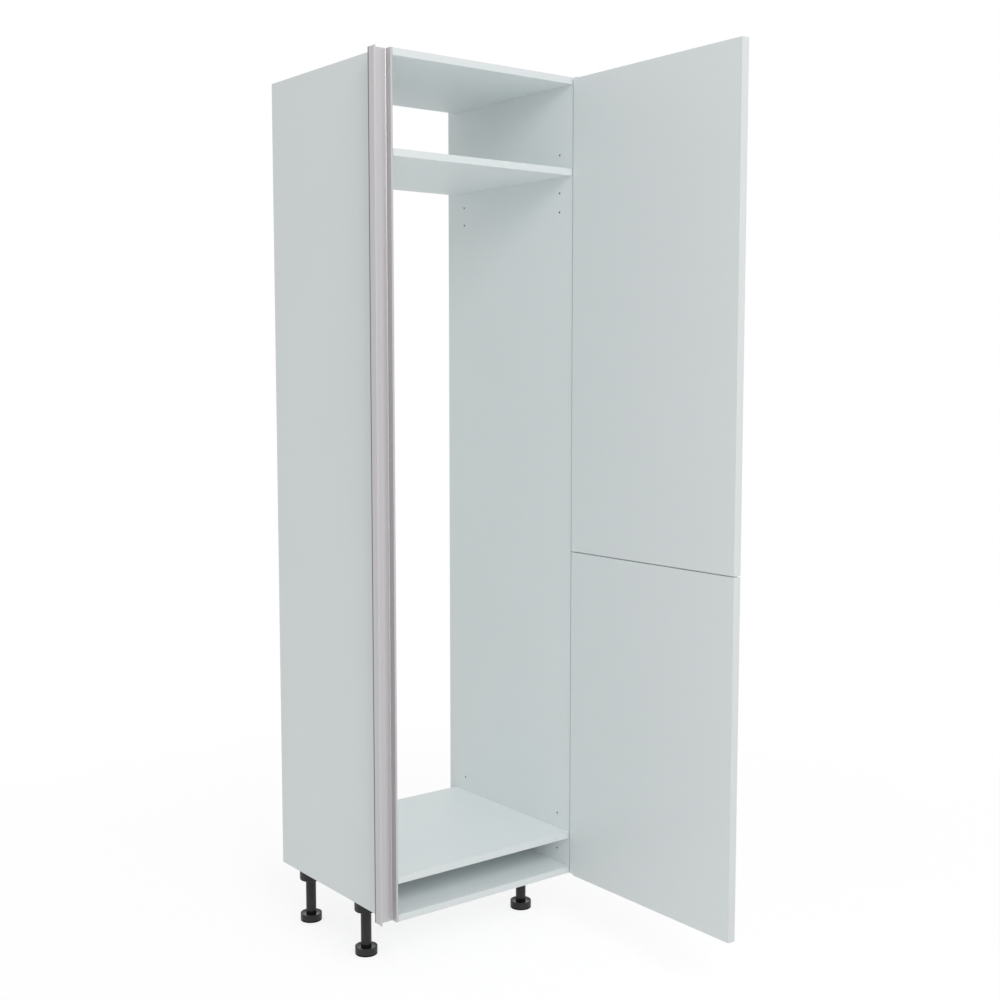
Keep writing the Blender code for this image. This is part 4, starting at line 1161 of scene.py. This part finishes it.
def leg_socket():
    """The moulded cup under the base, about the leg's axis: a shell, a boss for the column and the webs."""
    hole = COLUMN_RADIUS + FIT_GAP
    boss = hole + BOSS_WALL
    stop = hole - COLUMN_WALL
    inside = SOCKET_RADIUS - SOCKET_WALL
    floor_top = SOCKET_BOTTOM + SOCKET_WALL
    line = [
        (hole, SOCKET_BOTTOM, 0.5), (SOCKET_RADIUS, SOCKET_BOTTOM, SOCKET_ROUNDING),
        (SOCKET_RADIUS, SOCKET_TOP, 0.4), (inside, SOCKET_TOP, 0.3),
        (inside, floor_top, 1.6), (boss, floor_top, 0.8),
        (boss, SOCKET_TOP, 0.3), (stop, SOCKET_TOP, 0.3),
        (stop, SOCKET_TOP - SOCKET_STOP, 0.3), (hole, SOCKET_TOP - SOCKET_STOP, 0.2),
    ]
    cup = turned(rounded(line, steps=5), LEG_SIDES, PLASTIC, closed=True)
    low = (boss - WEB_SINK, -WEB / 2, SOCKET_BOTTOM + SOCKET_WALL / 2)
    high = (inside + WEB_SINK, WEB / 2, SOCKET_TOP - WEB_SINK)
    for number in range(PEGS):
        web = slab(low, high, WEB_EASING, PLASTIC, 2)
        cup = joined(cup, laid(web, (0, 0, 0), UP, math.tau * number / PEGS + math.pi))
    return cup


def peg():
    """A press-in peg with its barbs, standing on its shoulder."""
    shoulder = PEG_RADIUS + PEG_SHOULDER
    start = SOCKET_BOTTOM + PEG_START
    line = [(0, start), (shoulder, start), (shoulder, SOCKET_TOP)]
    height = SOCKET_TOP
    for _ in range(BARBS):
        line += [(PEG_RADIUS, height + BARB_EDGE), (PEG_RADIUS - BARB_DEPTH, height + BARB_LENGTH)]
        height += BARB_PITCH
    line += [(PEG_RADIUS - PEG_NOSE, PEG_TOP), (0, PEG_TOP)]
    return turned(line, PEG_SIDES, PLASTIC)


def column():
    """The tube of a leg, open above, with a thick threaded end below."""
    hole = SPINDLE_RADIUS + FIT_GAP
    inside = COLUMN_RADIUS - COLUMN_WALL
    inner_floor = COLUMN_BOTTOM + COLUMN_FLOOR
    line = [
        (hole, COLUMN_BOTTOM, COLUMN_EDGE), (COLUMN_RADIUS, COLUMN_BOTTOM, 0.9),
        (COLUMN_RADIUS, COLUMN_TOP, COLUMN_EDGE), (inside, COLUMN_TOP, COLUMN_EDGE),
        (inside, inner_floor, 1.0), (hole, inner_floor, COLUMN_EDGE),
    ]
    return turned(rounded(line, steps=4), LEG_SIDES, PLASTIC, closed=True)


def in_the_dish(face):
    """Whether a face of a foot belongs to the dish, its ground or the wall round it."""
    reach = face.center.xy.length
    inside = COLUMN_RADIUS + DISH_START < reach < FOOT_RADIUS - FOOT_RIM + SLACK
    return inside and face.center.z > DISH_FLOOR - SLACK


def on_sole_or_collar(face):
    """Whether a face of a foot lies in its lowest band or on the collar under the column, where the
    near-black painted shade goes.
    """
    height = face.center.z
    collar = face.center.xy.length < COLUMN_RADIUS + SLACK and height > DISH_FLOOR + COLLAR_START
    return height < SOLE or (collar and height < COLUMN_BOTTOM)


def foot():
    """A dished foot, the collar under the column and the threaded spindle."""
    collar_top = COLUMN_BOTTOM - FIT_GAP
    dish = FOOT_RADIUS - FOOT_RIM
    sole = FOOT_RADIUS - SOLE_INSET
    line = [
        (0, 0), (sole, 0, 0.4), (sole, SOLE, 0), (FOOT_RADIUS, SOLE, 0.25),
        (FOOT_RADIUS, FOOT_HEIGHT, 0.9), (dish, FOOT_HEIGHT, 0.7),
        (dish, DISH_FLOOR, 1.4), (COLUMN_RADIUS, DISH_FLOOR, 1.6),
        (COLUMN_RADIUS, collar_top, 0.5), (SPINDLE_CORE, collar_top, 0.3),
        (SPINDLE_CORE, SPINDLE_TOP, 0.9), (0, SPINDLE_TOP),
    ]
    body = turned(rounded(line, steps=4, closed=False), LEG_SIDES, PLASTIC)
    dress(body, DISH, in_the_dish)
    # Painted shade: near black on the foot's lowest band and on the collar
    dress(body, FOOT_SHADE_BLACK, on_sole_or_collar)
    start = collar_top + SPINDLE_THREAD_START
    return threaded(body, SPINDLE_CORE, SPINDLE_RADIUS, SPINDLE_PITCH, start, SPINDLE_TOP - SPINDLE_NOSE)


def legs():
    meshes = []
    for facing in (0.0, math.pi):
        own = [(leg_axis(leg), UP) for leg in CORNERS if leg_facing(leg) == facing]
        meshes.append(set_out(leg_socket(), own, facing))
    meshes.append(set_out(peg(), [(place, UP) for place in peg_places()]))
    fit("leg_sockets", joined(*meshes), [f"{leg}_leg_socket" for leg in CORNERS])
    columns = set_out(column(), [(leg_axis(leg), UP) for leg in CORNERS])
    fit("leg_columns", columns, [f"{leg}_leg_column" for leg in CORNERS])
    for leg in CORNERS:
        mesh = laid(foot(), leg_axis(leg))
        fit(f"{leg}_foot_and_spindle", mesh, [f"{leg}_leg_foot"], f"{leg}_foot")


# Camera, light and floor


def camera(place, tilt, pan, lens):
    """The photographer's view. Its turns are in degrees."""
    data = bpy.data.cameras.new("camera")
    data.lens = lens
    data.sensor_width = 36
    data.clip_end = 200
    made = added("camera", data)
    made.location = place
    made.rotation_euler = (math.radians(tilt), 0, math.radians(pan))
    bpy.context.scene.camera = made


def lamp(name, place, target, size, power):
    """A soft lamp that faces its target."""
    data = bpy.data.lights.new(name, "AREA")
    data.shape = "RECTANGLE"
    data.size, data.size_y = size
    data.energy = power
    made = added(name, data)
    made.location = place
    made.rotation_euler = (Vector(target) - Vector(place)).to_track_quat("-Z", "Y").to_euler()


def world():
    """Even light from all round. What sees the background itself sees white."""
    made = bpy.data.worlds.new("studio")
    made.use_nodes = True
    bpy.context.scene.world = made
    studio = Nodes(made.node_tree)
    light = studio.tree.nodes["Background"]
    light.inputs["Strength"].default_value = AMBIENT
    light.inputs["Color"].default_value = WHITE
    white = studio.add("ShaderNodeBackground", {"Color": WHITE})
    seen = studio.seen_by("Camera", "Glossy", "Transmission")
    mix = studio.add("ShaderNodeMixShader", {0: seen, 1: light.outputs[0], 2: white})
    studio.feed(studio.tree.nodes["World Output"].inputs["Surface"], mix)


def floor():
    """A wide pale floor that shows the unit's shadow and melts into white further out."""
    material = bpy.data.materials.new("pale floor")
    material.use_nodes = True
    paint = Nodes(material.node_tree)
    paint.tree.nodes.remove(paint.tree.nodes["Principled BSDF"])
    tone = paint.mixed(paint.seen_by("Camera"), FLOOR_TONE, FLOOR_TONE_SEEN)
    diffuse = paint.add("ShaderNodeBsdfDiffuse", {"Color": tone})
    white = paint.add("ShaderNodeEmission", {"Color": WHITE})
    place = paint.add("ShaderNodeTexCoord", give="Object")
    distance = paint.add("ShaderNodeVectorMath", {0: place}, give="Value", operation="LENGTH")
    fade = paint.ranged(distance, FADE_START, FADE_STOP, LEAST_WHITE, 1.0)
    share = paint.maths("MULTIPLY", fade, paint.seen_by("Camera", "Glossy", "Transmission"))
    mix = paint.add("ShaderNodeMixShader", {0: share, 1: diffuse, 2: white})
    paint.feed(paint.tree.nodes["Material Output"].inputs["Surface"], mix)
    work = bmesh.new()
    bmesh.ops.create_circle(work, cap_ends=True, segments=96, radius=FLOOR_RADIUS)
    added("floor", solid_mesh(work, material))


boards()
handle_profile()
profile_brackets()
screws()
pivot_plates()
pivot_pins()
doors()
legs()
camera(place=(-2.13694, -2.8174, 1.5339), tilt=84.64, pan=-37.73, lens=50.124)
world()
lamp("front lamp", place=(-1.2, -5.2, 4.3), target=(0.0, 0.0, 1.3), size=(3.0, 2.4), power=152)
lamp("low fill", place=(-0.4, -4.0, 0.45), target=(0.0, 0.3, 1.4), size=(3.0, 0.8), power=10)
floor()
bpy.context.scene.view_settings.view_transform = "Standard"
